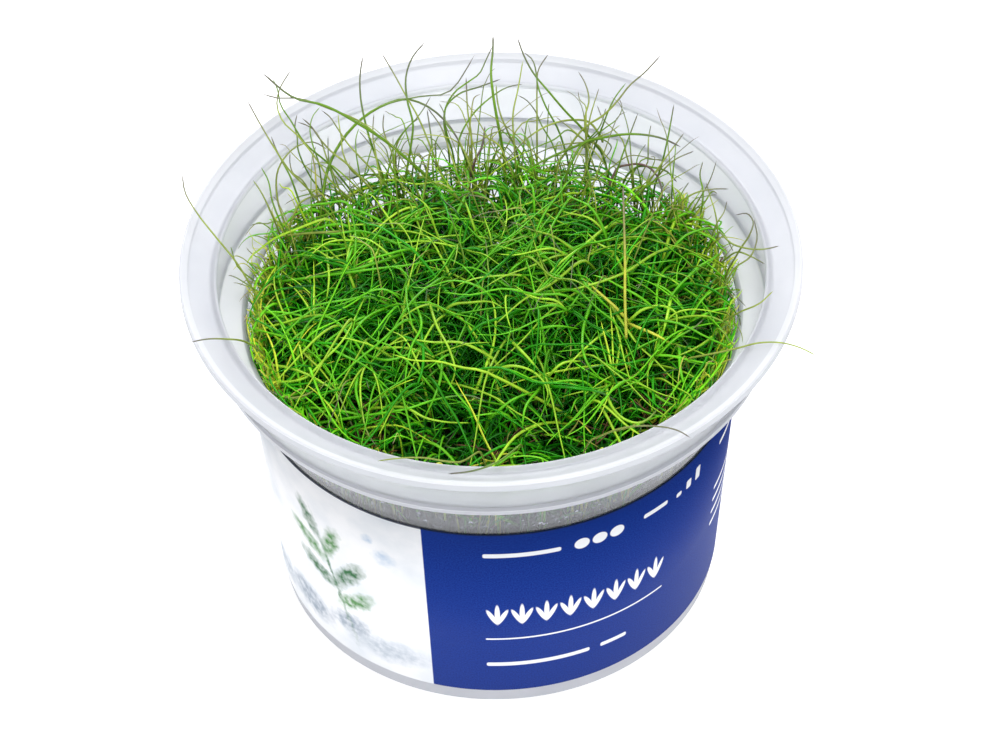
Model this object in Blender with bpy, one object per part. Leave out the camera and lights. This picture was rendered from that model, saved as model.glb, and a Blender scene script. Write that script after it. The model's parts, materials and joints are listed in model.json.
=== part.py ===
"""A tub of tissue-cultured small spikerush.

A frosted see-through tub with a paper label round it holds growing gel, and in the gel stand the
plants: one matted sward of thin arching stems, with single long stems that lean over the rim.

Metres, +Z up. The origin is the middle of the tub's flat underside. The front is -Y.
"""
import math
import random

import bmesh
import bpy
from mathutils import Vector, noise

MM = 0.001

# Tub, all radii measured from its axis
HEIGHT = 66.5 * MM
LIP_RADIUS = 50.0 * MM
LIP_FACE = 1.8 * MM
FLANGE_FALL = 2.8 * MM
FLANGE_FOOT_RADIUS = 45.2 * MM
FLANGE_THICKNESS = 1.0 * MM
BEAD_RADIUS = 44.0 * MM
BEAD_FALL = 1.7 * MM
BEAD_HEIGHT = 1.0 * MM
COLLAR_DEPTH = 11.8 * MM
COLLAR_WALL = 0.9 * MM
COLLAR_FOOT_RADIUS = 45.6 * MM
COLLAR_FOOT_HEIGHT = 0.9 * MM
WALL = 0.8 * MM
FLOOR = 1.0 * MM
BASE_RADIUS = 36.3 * MM
DRAFT = 0.079
HEEL_FILLET = 1.2 * MM
TURN_STEPS = 48
ARC_STEPS = 2

# Solids that touch keep this gap
GAP = 0.3 * MM

# Label
LABEL_BOTTOM = 3.5 * MM
LABEL_TOP = 44.3 * MM
LABEL_THICKNESS = 0.15 * MM
LABEL_SEAM = math.radians(6)
LABEL_STEPS = 47

# Gel
GEL_TOP = 16.0 * MM
GEL_MENISCUS = 1.2 * MM

# Sward: the matted plants
SWARD_CLEARANCE = 0.5 * MM
SWARD_EDGE_HEIGHT = HEIGHT - 13.5 * MM
SWARD_RISE = 8.5 * MM
SWARD_BACK_FALL = 5.0 * MM
SWARD_BACK_START = 18.0 * MM
SWARD_LUMP = 1.1 * MM
SWARD_LUMP_SPACING = 9 * MM
SWARD_RINGS = 8
SWARD_SPOKES = 32
LOCK_COUNT = 72
LOCK_SPREAD = 34.0 * MM
LOCK_SPREAD_SWING = 0.06
LOCK_RISE = (6.0 * MM, 10.0 * MM)
LOCK_LEAN = (6.0 * MM, 12.0 * MM)
LOCK_RADIUS = (1.1 * MM, 1.8 * MM)
LOCK_TAPER = 0.25
LOCK_ROOT_DEPTH = 1.5 * MM
LOCK_SIDES = 4
LOCK_STEPS = 4
GOLDEN_ANGLE = math.pi * (3 - math.sqrt(5))

# Long stems: where each stands (x, y), the point that it bends towards, and its tip.
# All in millimetres, with heights from the tub's lip.
STEM_RADII = (0.4 * MM, 0.1 * MM)
STEM_ROOT_DEPTH = 1.2 * MM
STEM_SIDES = 4
STEM_STEPS = 7
SOCKET_SIDES = 6
LONG_STEMS = (
    ((-37, 2), (-44, 3, 6), (-49, 15, 7)),
    ((-27, 22), (-34, 19, 8), (-39, 29, 10)),
    ((-13, 25), (-23, 29, 9), (-37, 35, 10)),
    ((-26, 28), (-35, 26, 8), (-32, 37, 9)),
    ((-17, 27), (-21, 29, 7), (-20, 41, 8)),
    ((-8, 28), (-11, 29, 11), (-17, 40, 9)),
    ((-12, 31), (-14, 32, 6), (-10, 44, 8)),
    ((-21, 28), (-14, 42, 7), (-4, 30, 0)),
    ((-4, 25), (-3, 31, 8), (-2, 42, 6)),
    ((3, 32), (0, 33, 10), (1, 44, 10)),
    ((18, 29), (10, 29, 11), (5, 42, 10)),
    ((8, 28), (7, 32, 6), (11, 43, 5)),
    ((4, 28), (3, 33, 4), (7, 41, 3)),
    ((17, 26), (18, 31, 2), (16, 42, 3)),
    ((12, 24), (21, 28, 8), (29, 39, 8)),
    ((14, 19), (22, 28, 7), (32, 24, 3)),
    ((22, 30), (11, 35, 4), (3, 24, 1)),
    ((27, 26), (29, 25, 2), (31, 33, 3)),
    ((30, 18), (33, 15, 3), (39, 15, 2)),
    ((36, 11), (40, 0, 4), (46, 1, 2)),
    ((35, -6), (40, -12, 3), (44, -9, 2)),
    ((31, -14), (41, -18, 5), (51, -24, 1)),
    ((35, 6), (42, 5, 8), (39, 10, 6)),
    ((4, -34), (-2, -46, 4), (-8, -45, 1)),
    ((-36, -10), (-41, -15, 4), (-47, -18, 2)),
    ((22, -16), (22, -6, 9), (22, 12, 3)),
)


def clear_scene():
    """Remove every object that the file opened with."""
    for old in list(bpy.data.objects):
        bpy.data.objects.remove(old, do_unlink=True)


def plain_material(name, rgb, roughness, transmission=0.0, ior=1.45):
    """A Principled material of one colour (linear RGB)."""
    material = bpy.data.materials.new(name)
    material.use_nodes = True
    shader = material.node_tree.nodes["Principled BSDF"]
    shader.inputs["Base Color"].default_value = (*rgb, 1.0)
    shader.inputs["Roughness"].default_value = roughness
    shader.inputs["Metallic"].default_value = 0.0
    shader.inputs["Transmission Weight"].default_value = transmission
    shader.inputs["IOR"].default_value = ior
    return material


def add_object(name, mesh, material):
    """Link a mesh to the scene as one named, smooth-shaded object."""
    thing = bpy.data.objects.new(name, mesh)
    bpy.context.scene.collection.objects.link(thing)
    mesh.materials.append(material)
    mesh.shade_smooth()
    return thing


def rounded(corners):
    """Turn corners (radius, height, fillet) into an outline whose filleted corners are arcs."""
    points = [Vector((radius, 0.0, height)) for radius, height, fillet in corners]
    outline = []
    for index, (radius, height, fillet) in enumerate(corners):
        corner = points[index]
        if fillet == 0.0:
            outline.append(corner)
            continue
        before = (points[index - 1] - corner).normalized()
        after = (points[index + 1] - corner).normalized()
        half_angle = before.angle(after) / 2
        centre = corner + (before + after).normalized() * fillet / math.sin(half_angle)
        reach = fillet / math.tan(half_angle)
        start = (corner + before * reach - centre).normalized()
        end = (corner + after * reach - centre).normalized()
        for step in range(ARC_STEPS + 1):
            outline.append(centre + start.slerp(end, step / ARC_STEPS) * fillet)
    return outline


def turned(name, outline, material, steps=TURN_STEPS, angle=2 * math.pi):
    """Turn an outline about Z with a Screw modifier."""
    mesh = bpy.data.meshes.new(name)
    edges = [(index, index + 1) for index in range(len(outline) - 1)]
    mesh.from_pydata([tuple(point) for point in outline], edges, [])
    thing = add_object(name, mesh, material)
    screw = thing.modifiers.new("Turn", "SCREW")
    screw.axis = "Z"
    screw.angle = angle
    screw.steps = steps
    screw.render_steps = steps
    screw.use_merge_vertices = angle == 2 * math.pi
    screw.merge_threshold = 0.01 * MM
    screw.use_smooth_shade = True
    return thing


def body_radius(height):
    """Outer radius of the tub's tapered body at a height."""
    return BASE_RADIUS + DRAFT * height


def inner_radius(height):
    """Inner radius of the tub's tapered body at a height."""
    return body_radius(height) - WALL


def build_tub():
    """The tub: floor, tapered body, shoulder, collar, bead and wide flange, in one outline."""
    shoulder = HEIGHT - COLLAR_DEPTH
    collar_inner = FLANGE_FOOT_RADIUS - COLLAR_WALL
    under_flange = HEIGHT - FLANGE_FALL - FLANGE_THICKNESS
    under_bead = HEIGHT - BEAD_FALL - BEAD_HEIGHT
    corners = (
        (0.0, FLOOR, 0.0),
        (inner_radius(FLOOR), FLOOR, 1.5 * MM),
        (inner_radius(shoulder), shoulder + 0.5 * MM, 0.9 * MM),
        (collar_inner, shoulder + 0.9 * MM, 0.5 * MM),
        (collar_inner, under_bead - 0.6 * MM, 0.0),
        (BEAD_RADIUS, under_bead, 0.0),
        (BEAD_RADIUS, HEIGHT - BEAD_FALL, 0.3 * MM),
        (FLANGE_FOOT_RADIUS, HEIGHT - FLANGE_FALL, 0.0),
        (LIP_RADIUS, HEIGHT, 0.3 * MM),
        (LIP_RADIUS, HEIGHT - LIP_FACE, 0.0),
        (LIP_RADIUS - 1.1 * MM, HEIGHT - LIP_FACE - 0.2 * MM, 0.0),
        (FLANGE_FOOT_RADIUS, under_flange, 0.0),
        (FLANGE_FOOT_RADIUS, shoulder + COLLAR_FOOT_HEIGHT + 0.4 * MM, 0.0),
        (COLLAR_FOOT_RADIUS, shoulder + COLLAR_FOOT_HEIGHT, 0.0),
        (COLLAR_FOOT_RADIUS, shoulder, 0.3 * MM),
        (body_radius(shoulder), shoulder - 0.4 * MM, 0.0),
        (body_radius(0.0), 0.0, HEEL_FILLET),
        (0.0, 0.0, 0.0),
    )
    material = plain_material("frosted_polypropylene", (0.80, 0.82, 0.88), 0.35, 0.6, 1.49)
    return turned("tub", rounded(corners), material)


def build_label():
    """The label: one strip round the body, open at the seam, given its thickness by Solidify."""
    outline = [
        Vector((body_radius(height) + GAP, 0.0, height))
        for height in (LABEL_TOP, LABEL_BOTTOM)
    ]
    material = plain_material("printed_paper", (0.03, 0.06, 0.32), 0.45)
    label = turned("label", outline, material, LABEL_STEPS, 2 * math.pi - LABEL_SEAM)
    label.rotation_euler.z = math.radians(90) + LABEL_SEAM / 2
    paper = label.modifiers.new("Paper", "SOLIDIFY")
    paper.thickness = LABEL_THICKNESS
    paper.offset = 1.0
    return label


def build_gel():
    """The growing gel: a disc that fills the tub's foot, drawn up a little at the wall."""
    bottom = FLOOR + GAP
    edge = GEL_TOP + GEL_MENISCUS
    outline = (
        (0.0, GEL_TOP, 0.0),
        (inner_radius(edge) - GAP - 2.5 * MM, GEL_TOP, 0.0),
        (inner_radius(edge) - GAP, edge, 0.0),
        (inner_radius(bottom) - GAP, bottom, 1.5 * MM),
        (0.0, bottom, 0.0),
    )
    material = plain_material("growing_gel", (0.72, 0.70, 0.58), 0.15, 0.7, 1.34)
    return turned("gel", rounded(outline), material)


def sward_top(x, y):
    """Height of the matted surface: a low dome, lumpy, that falls away at the back wall."""
    wall = inner_radius(SWARD_EDGE_HEIGHT)
    radius = min(math.hypot(x, y) / wall, 1.0)
    dome = SWARD_RISE * (1 - radius ** 2) ** 0.75
    behind = max(y - SWARD_BACK_START, 0.0) / (wall - SWARD_BACK_START)
    lump = noise.noise(Vector((x, y, 0.0)) / SWARD_LUMP_SPACING) * SWARD_LUMP * 2
    return SWARD_EDGE_HEIGHT + dome - SWARD_BACK_FALL * behind ** 1.3 + lump * (1 - radius ** 4)


def shoot(name, root, bend, tip, radii, steps, sides, material):
    """A tapering shoot: rings carried along the quadratic curve from root by bend to tip."""
    thick, thin = radii
    across = (bend - root).cross(tip - bend).normalized()
    rings = []
    vertices = []
    for step in range(steps):
        t = step / steps
        centre = root * (1 - t) ** 2 + bend * 2 * t * (1 - t) + tip * t ** 2
        along = ((bend - root) * (1 - t) + (tip - bend) * t).normalized()
        side = along.cross(across)
        width = thick + (thin - thick) * t ** 2
        rings.append([len(vertices) + index for index in range(sides)])
        for index in range(sides):
            turn = 2 * math.pi * index / sides
            offset = across * math.cos(turn) + side * math.sin(turn)
            vertices.append(centre + offset * width)
    apex = len(vertices)
    vertices.append(tip)
    faces = [tuple(reversed(rings[0]))]
    for lower, upper in zip(rings, rings[1:]):
        for index in range(sides):
            after = (index + 1) % sides
            faces.append((lower[index], lower[after], upper[after], upper[index]))
    for index in range(sides):
        faces.append((rings[-1][index], rings[-1][(index + 1) % sides], apex))
    mesh = bpy.data.meshes.new(name)
    mesh.from_pydata([tuple(vertex) for vertex in vertices], [], faces)
    return add_object(name, mesh, material)


def build_mat(material):
    """The mass of the sward: a lumpy dome on a tapered plug that stands on the gel."""
    mesh = bpy.data.meshes.new("sward")
    shape = bmesh.new()
    top = shape.verts.new((0.0, 0.0, sward_top(0.0, 0.0)))
    widest = inner_radius(SWARD_EDGE_HEIGHT - SWARD_BACK_FALL) - SWARD_CLEARANCE
    rings = []
    for ring in range(1, SWARD_RINGS + 1):
        radius = widest * ring / SWARD_RINGS
        circle = []
        for spoke in range(SWARD_SPOKES):
            turn = 2 * math.pi * spoke / SWARD_SPOKES
            x, y = radius * math.cos(turn), radius * math.sin(turn)
            circle.append(shape.verts.new((x, y, sward_top(x, y))))
        rings.append(circle)
    foot_height = GEL_TOP + GEL_MENISCUS + GAP
    foot_radius = inner_radius(foot_height) - SWARD_CLEARANCE
    foot = []
    for spoke in range(SWARD_SPOKES):
        turn = 2 * math.pi * spoke / SWARD_SPOKES
        x, y = foot_radius * math.cos(turn), foot_radius * math.sin(turn)
        foot.append(shape.verts.new((x, y, foot_height)))
    rings.append(foot)
    for spoke in range(SWARD_SPOKES):
        after = (spoke + 1) % SWARD_SPOKES
        shape.faces.new((top, rings[0][spoke], rings[0][after]))
        for inner, outer in zip(rings, rings[1:]):
            shape.faces.new((inner[spoke], outer[spoke], outer[after], inner[after]))
    shape.faces.new(reversed(foot))
    shape.to_mesh(mesh)
    shape.free()
    return add_object("sward", mesh, material)


def build_locks(material, guides):
    """Tapering locks of stems, spread over the dome by the golden angle and arching outwards."""
    chance = random.Random(7)
    for index in range(LOCK_COUNT):
        turn = index * GOLDEN_ANGLE
        spread = LOCK_SPREAD * (1 + LOCK_SPREAD_SWING * math.sin(turn))
        distance = spread * math.sqrt((index + 0.5) / LOCK_COUNT)
        x, y = distance * math.cos(turn), distance * math.sin(turn)
        root = Vector((x, y, sward_top(x, y) - LOCK_ROOT_DEPTH))
        rise = chance.uniform(*LOCK_RISE) * (1 + 0.5 * y / LIP_RADIUS)
        lean = chance.uniform(*LOCK_LEAN) * (1 - 0.4 * distance / LOCK_SPREAD)
        heading = turn + chance.choice((-1, 1)) * (0.3 + 1.4 * distance / LOCK_SPREAD)
        out = Vector((math.cos(heading), math.sin(heading), 0.0))
        bend = root + out * lean * 0.25 + Vector((0.0, 0.0, rise * 1.3 + LOCK_ROOT_DEPTH))
        tip = root + out * lean + Vector((0.0, 0.0, rise * chance.uniform(0.5, 1.1)))
        thick = chance.uniform(*LOCK_RADIUS)
        radii = (thick, thick * LOCK_TAPER)
        name = f"lock_{index + 1:02d}"
        lock = shoot(name, root, bend, tip, radii, LOCK_STEPS, LOCK_SIDES, material)
        make_guide(lock, guides)


def make_guide(thing, guides):
    """Move a shape that only joins or cuts another into its own hidden collection."""
    bpy.context.scene.collection.objects.unlink(thing)
    guides.objects.link(thing)
    thing.hide_render = True
    thing.display_type = "WIRE"


def stem_points(stem):
    """Root, bend and tip of a long stem, in metres; the root is set in the sward's surface."""
    (x, y), bend, tip = stem
    x, y = x * MM, y * MM
    root = Vector((x, y, sward_top(x, y) - STEM_ROOT_DEPTH))
    lip = Vector((0.0, 0.0, HEIGHT))
    return root, Vector(bend) * MM + lip, Vector(tip) * MM + lip


def build_long_stems(material, sockets):
    """The single long stems, and for each a slightly wider copy that cuts its socket."""
    for index, stem in enumerate(LONG_STEMS):
        root, bend, tip = stem_points(stem)
        name = f"long_stem_{index + 1:02d}"
        shoot(name, root, bend, tip, STEM_RADII, STEM_STEPS, STEM_SIDES, material)
        deeper = root - (bend - root).normalized() * GAP
        past = tip + (tip - bend).normalized() * GAP
        wide = [radius + 2 * GAP for radius in STEM_RADII]
        name = f"socket_{index + 1:02d}"
        socket = shoot(name, deeper, bend, past, wide, STEM_STEPS, SOCKET_SIDES, material)
        make_guide(socket, sockets)


def add_boolean(thing, label, operation, collection):
    """Join or cut with every shape in a collection."""
    boolean = thing.modifiers.new(label, "BOOLEAN")
    boolean.operation = operation
    boolean.operand_type = "COLLECTION"
    boolean.collection = collection
    boolean.solver = "EXACT"


def new_collection(name):
    """A collection of its own for shapes that join or cut."""
    collection = bpy.data.collections.new(name)
    bpy.context.scene.collection.children.link(collection)
    return collection


def build_sward():
    """The matted plants: the mass, its locks, and a socket cut round each long stem."""
    green = plain_material("spikerush_green", (0.13, 0.33, 0.02), 0.45)
    mat = build_mat(green)
    locks = new_collection("locks")
    build_locks(green, locks)
    add_boolean(mat, "Locks", "UNION", locks)
    sockets = new_collection("sockets")
    build_long_stems(green, sockets)
    add_boolean(mat, "Sockets", "DIFFERENCE", sockets)
    return mat


def keep_largest_body(thing):
    """Bake the modifiers and drop the lock ends that a socket has cut off."""
    scene_state = bpy.context.evaluated_depsgraph_get()
    baked = bpy.data.meshes.new_from_object(thing.evaluated_get(scene_state))
    shape = bmesh.new()
    shape.from_mesh(baked)
    unseen = set(shape.verts)
    bodies = []
    while unseen:
        front = [unseen.pop()]
        body = list(front)
        while front:
            for edge in front.pop().link_edges:
                for vertex in edge.verts:
                    if vertex in unseen:
                        unseen.remove(vertex)
                        front.append(vertex)
                        body.append(vertex)
        bodies.append(body)
    bodies.sort(key=len)
    for scrap in bodies[:-1]:
        bmesh.ops.delete(shape, geom=scrap, context="VERTS")
    shape.to_mesh(baked)
    shape.free()
    thing.modifiers.clear()
    thing.data = baked


def main():
    clear_scene()
    build_tub()
    build_label()
    build_gel()
    keep_largest_body(build_sward())


main()
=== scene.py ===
# %% [markdown]
# # A tub of small spikerush
# Plant laboratories grow small spikerush in a tub: a frosted polypropylene cup with a paper label,
# some clear growing gel, and thousands of thread-thin stems that stand in it like uncombed hair. The
# solids of the tub, label, gel, sward and long stems are loaded first, as a fixed frame. Everything
# below is the finish: smooth surfaces, real materials and real stems.
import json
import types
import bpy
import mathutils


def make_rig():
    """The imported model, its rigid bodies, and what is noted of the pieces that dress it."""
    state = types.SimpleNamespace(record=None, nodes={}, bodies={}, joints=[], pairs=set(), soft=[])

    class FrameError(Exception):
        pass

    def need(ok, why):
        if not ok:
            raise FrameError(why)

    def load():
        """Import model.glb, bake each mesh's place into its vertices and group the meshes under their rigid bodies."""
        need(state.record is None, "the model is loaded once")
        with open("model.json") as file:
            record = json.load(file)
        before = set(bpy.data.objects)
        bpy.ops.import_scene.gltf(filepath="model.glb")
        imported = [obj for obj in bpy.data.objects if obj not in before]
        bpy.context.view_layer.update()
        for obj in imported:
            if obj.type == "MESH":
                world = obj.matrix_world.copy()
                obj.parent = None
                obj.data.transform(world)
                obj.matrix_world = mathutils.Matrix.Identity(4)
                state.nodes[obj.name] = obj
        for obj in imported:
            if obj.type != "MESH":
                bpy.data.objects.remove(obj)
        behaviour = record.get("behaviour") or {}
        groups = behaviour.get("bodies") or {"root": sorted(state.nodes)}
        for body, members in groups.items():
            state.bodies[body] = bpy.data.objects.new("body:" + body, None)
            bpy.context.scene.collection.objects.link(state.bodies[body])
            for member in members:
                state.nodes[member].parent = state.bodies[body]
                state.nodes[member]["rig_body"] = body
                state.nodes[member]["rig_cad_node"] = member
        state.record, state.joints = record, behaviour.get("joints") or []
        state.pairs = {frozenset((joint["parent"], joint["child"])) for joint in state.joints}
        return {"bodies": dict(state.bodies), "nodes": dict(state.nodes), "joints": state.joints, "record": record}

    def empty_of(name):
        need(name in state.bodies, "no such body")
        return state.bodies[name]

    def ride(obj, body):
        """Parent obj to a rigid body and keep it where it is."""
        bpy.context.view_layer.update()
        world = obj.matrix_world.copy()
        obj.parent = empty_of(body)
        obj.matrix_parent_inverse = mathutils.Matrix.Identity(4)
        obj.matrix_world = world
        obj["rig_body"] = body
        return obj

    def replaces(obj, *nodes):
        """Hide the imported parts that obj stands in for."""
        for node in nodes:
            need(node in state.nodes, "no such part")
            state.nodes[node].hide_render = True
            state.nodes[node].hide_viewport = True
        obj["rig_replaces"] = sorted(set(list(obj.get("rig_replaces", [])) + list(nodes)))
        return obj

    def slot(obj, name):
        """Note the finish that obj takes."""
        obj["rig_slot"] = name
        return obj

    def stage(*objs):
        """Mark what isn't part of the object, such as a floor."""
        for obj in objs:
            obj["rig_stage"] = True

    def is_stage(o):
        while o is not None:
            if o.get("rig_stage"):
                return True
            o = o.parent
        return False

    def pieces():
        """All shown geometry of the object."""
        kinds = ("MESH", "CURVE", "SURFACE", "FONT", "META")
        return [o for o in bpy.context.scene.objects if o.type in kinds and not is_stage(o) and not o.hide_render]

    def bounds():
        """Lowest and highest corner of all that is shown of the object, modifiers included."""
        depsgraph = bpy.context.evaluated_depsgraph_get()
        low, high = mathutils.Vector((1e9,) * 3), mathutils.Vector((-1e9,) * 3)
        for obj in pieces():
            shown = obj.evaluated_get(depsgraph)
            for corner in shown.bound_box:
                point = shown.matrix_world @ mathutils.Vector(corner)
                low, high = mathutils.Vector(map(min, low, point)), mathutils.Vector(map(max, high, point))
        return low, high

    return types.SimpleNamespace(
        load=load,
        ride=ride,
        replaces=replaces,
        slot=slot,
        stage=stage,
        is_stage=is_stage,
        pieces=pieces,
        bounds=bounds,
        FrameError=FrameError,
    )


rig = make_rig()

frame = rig.load()
cad_box = [list(corner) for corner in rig.bounds()]

import json
import math

import bmesh
import bpy
import numpy as np
from mathutils import Quaternion, Vector

MM = 0.001
print("solids", len(frame["nodes"]), "box in mm", [[round(v / MM, 1) for v in c] for c in cad_box])

# %% [markdown]
# ## The camera
# The photograph looks down at about 45 degrees through a long lens, so the rim is nearly an exact
# ellipse. The angle, distance and slight roll come from matching the rim, shoulder and base circles.
# A quaternion turns the camera to look along a direction, and a second one adds the roll.

# %% Camera
CAMERA_AIM = Vector((0.97, 0.25, 39.5)) * MM
CAMERA_DISTANCE = 819.1 * MM
CAMERA_ELEVATION = math.radians(45.26)
CAMERA_TURN = math.radians(0.10)
CAMERA_ROLL = math.radians(-1.589)
LENS = 179.74

back = Vector((
    -math.sin(CAMERA_TURN) * math.cos(CAMERA_ELEVATION),
    -math.cos(CAMERA_TURN) * math.cos(CAMERA_ELEVATION),
    math.sin(CAMERA_ELEVATION),
))
camera = bpy.data.objects.new("camera", bpy.data.cameras.new("camera"))
bpy.context.scene.collection.objects.link(camera)
camera.data.lens = LENS
camera.data.clip_start = 10 * MM
camera.location = CAMERA_AIM + back * CAMERA_DISTANCE
camera.rotation_mode = "QUATERNION"
camera.rotation_quaternion = (-back).to_track_quat("-Z", "Y") @ Quaternion((0, 0, 1), CAMERA_ROLL)
bpy.context.scene.camera = camera
print("camera at", [round(v, 4) for v in camera.location])

# %% [markdown]
# ## Helpers for colour, nodes and meshes
# Colours are written as sRGB hex, as a colour picker shows them, and turned to the linear values that
# shaders need. Hardly any surface has one even tone, so one function makes a mottled material. Another
# turns whole arrays of points and faces into a mesh, which is far quicker than a loop.

# %% Helpers
def linear(hex_colour):
    """Linear RGBA of an sRGB hex colour: each channel follows the sRGB curve, alpha is 1."""
    value = np.array([int(hex_colour[i:i + 2], 16) for i in (1, 3, 5)]) / 255
    curve = np.where(value <= 0.04045, value / 12.92, ((value + 0.055) / 1.055) ** 2.4)
    return (*curve.tolist(), 1.0)


def add_node(tree, kind, inputs=None, **settings):
    """One shader node with its settings. Each input is a plain value, or an output linked to it."""
    node = tree.nodes.new("ShaderNode" + kind)
    for name, value in settings.items():
        setattr(node, name, value)
    for socket, value in (inputs or {}).items():
        if isinstance(value, bpy.types.NodeSocket):
            tree.links.new(value, node.inputs[socket])
        else:
            node.inputs[socket].default_value = value
    return node


def new_material(name, **sockets):
    """A material with a Principled shader whose plain sockets are set by name."""
    material = bpy.data.materials.new(name)
    material.use_nodes = True
    shader = material.node_tree.nodes["Principled BSDF"]
    for socket, value in sockets.items():
        shader.inputs[socket.replace("_", " ").title().replace("Ior", "IOR")].default_value = value
    return material, material.node_tree, shader


def mottled(name, tones, scale, detail=2.0, stops=(0.0, 1.0), **sockets):
    """A material that wanders between two tones as a noise does between two of its values. Returned
    are the material, its tree, its shader, the place on the piece and the noise."""
    material, tree, shader = new_material(name, **sockets)
    place = add_node(tree, "TexCoord").outputs["Object"]
    noise = add_node(tree, "TexNoise", {"Vector": place, "Scale": scale, "Detail": detail}).outputs["Fac"]
    ramp = add_node(tree, "ValToRGB", {"Fac": noise})
    for element, stop, tone in zip(ramp.color_ramp.elements, stops, tones):
        element.position = stop
        element.color = linear(tone)
    tree.links.new(ramp.outputs["Color"], shader.inputs["Base Color"])
    return material, tree, shader, place, noise


def add_mesh(name, points, quads, material, triangles=np.empty((0, 3), int)):
    """A smooth mesh object from an array of points and arrays of four- and three-cornered faces."""
    points = points.reshape(-1, 3)
    loops = np.concatenate([quads.ravel(), triangles.ravel()])
    sizes = np.repeat([4, 3], [len(quads), len(triangles)])
    starts = np.cumsum(sizes) - sizes
    mesh = bpy.data.meshes.new(name)
    mesh.vertices.add(len(points))
    mesh.vertices.foreach_set("co", np.ascontiguousarray(points, np.float32).ravel())
    mesh.loops.add(len(loops))
    mesh.loops.foreach_set("vertex_index", loops.astype(np.int32))
    mesh.polygons.add(len(sizes))
    mesh.polygons.foreach_set("loop_start", starts.astype(np.int32))
    mesh.update(calc_edges=True)
    mesh.validate()
    mesh.shade_smooth()
    mesh.materials.append(material)
    thing = bpy.data.objects.new(name, mesh)
    bpy.context.scene.collection.objects.link(thing)
    return thing


def grid_quads(rows, columns, around):
    """Faces between neighbours of a rows by columns grid. With around, the last column meets the first."""
    index = np.arange(rows * columns).reshape(rows, columns)
    after = np.roll(index, -1, axis=1)
    if not around:
        index, after = index[:, :-1], after[:, :-1]
    return np.stack([index[:-1], after[:-1], after[1:], index[1:]], axis=-1).reshape(-1, 4)


def weld(thing, distance=0.001 * MM):
    """Merge points that lie together, such as the many copies of a pole, and turn the faces outwards."""
    shape = bmesh.new()
    shape.from_mesh(thing.data)
    bmesh.ops.remove_doubles(shape, verts=shape.verts, dist=distance)
    bmesh.ops.recalc_face_normals(shape, faces=shape.faces)
    shape.to_mesh(thing.data)
    shape.free()
    thing.data.shade_smooth()


def finish_piece(thing, slot, *nodes):
    """Tie a finished piece to the frame: its body, its finish and the solids that it stands for."""
    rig.ride(thing, "root")
    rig.slot(thing, slot)
    if nodes:
        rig.replaces(thing, *nodes)
    sides = np.bincount([len(p.vertices) for p in thing.data.polygons], minlength=5)
    print(thing.name, "triangles", sum(int(n) * (k - 2) for k, n in enumerate(sides) if k > 2))


# %% [markdown]
# ## The tub
# The cup is moulded polypropylene: a tapered body, a shoulder, a collar, a small raised bead and a
# wide flange. All of it is one outline turned about an axis. The outline is a list of corners with a
# fillet each, and turning it multiplies each point's radius by the cosine and sine of each angle.

# %% Tub sizes
HEIGHT = 66.5 * MM
LIP_RADIUS = 50.0 * MM
LIP_FACE = 1.8 * MM
FLANGE_FALL = 2.8 * MM
FLANGE_FOOT_RADIUS = 45.2 * MM
BEAD_RADIUS = 44.0 * MM
BEAD_FALL = 1.7 * MM
FLANGE_THICKNESS = 1.0 * MM
RIM_STRIP = 1.3 * MM
COLLAR_DEPTH = 11.8 * MM
COLLAR_WALL = 0.9 * MM
COLLAR_FOOT_RADIUS = 45.6 * MM
WALL = 0.8 * MM
FLOOR = 1.0 * MM
BASE_RADIUS = 36.3 * MM
DRAFT = 0.079
LABEL_BOTTOM = 3.5 * MM
SHOULDER = HEIGHT - COLLAR_DEPTH
COLLAR_INNER = FLANGE_FOOT_RADIUS - COLLAR_WALL


def body_radius(height):
    """Outer radius of the tapered body: the base radius plus the draft times the height."""
    return BASE_RADIUS + DRAFT * height


def rounded(corners, steps):
    """An outline (radius, height) in which each corner with a fillet becomes an arc of a circle
    that touches both of its sides."""
    points = [np.array(corner[:2]) for corner in corners]
    outline = []
    for before, corner, after, (_, _, fillet) in zip(
        points[-1:] + points[:-1], points, points[1:] + points[:1], corners
    ):
        if fillet == 0.0:
            outline.append(corner[None])
            continue
        one = (before - corner) / np.linalg.norm(before - corner)
        two = (after - corner) / np.linalg.norm(after - corner)
        half = math.acos(np.clip(one @ two, -1, 1)) / 2
        middle = (one + two) / np.linalg.norm(one + two)
        centre = corner + middle * fillet / math.sin(half)
        start = corner + one * fillet / math.tan(half) - centre
        end = corner + two * fillet / math.tan(half) - centre
        share = np.linspace(0, 1, steps + 1)[:, None]
        sweep = math.pi - 2 * half
        arc = (np.sin((1 - share) * sweep) * start + np.sin(share * sweep) * end) / math.sin(sweep)
        outline.append(centre + arc)
    return np.concatenate(outline)


def turned(name, outline, material, steps=192):
    """A solid of revolution: point (r, z) at angle a goes to (r cos a, r sin a, z)."""
    angle = np.linspace(0, 2 * math.pi, steps, endpoint=False)
    radius, height = outline[:, :1], outline[:, 1:]
    points = np.stack([
        radius * np.cos(angle),
        radius * np.sin(angle),
        height + 0 * angle,
    ], axis=-1)
    thing = add_mesh(name, points, grid_quads(len(outline), steps, True), material)
    weld(thing)
    return thing
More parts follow.
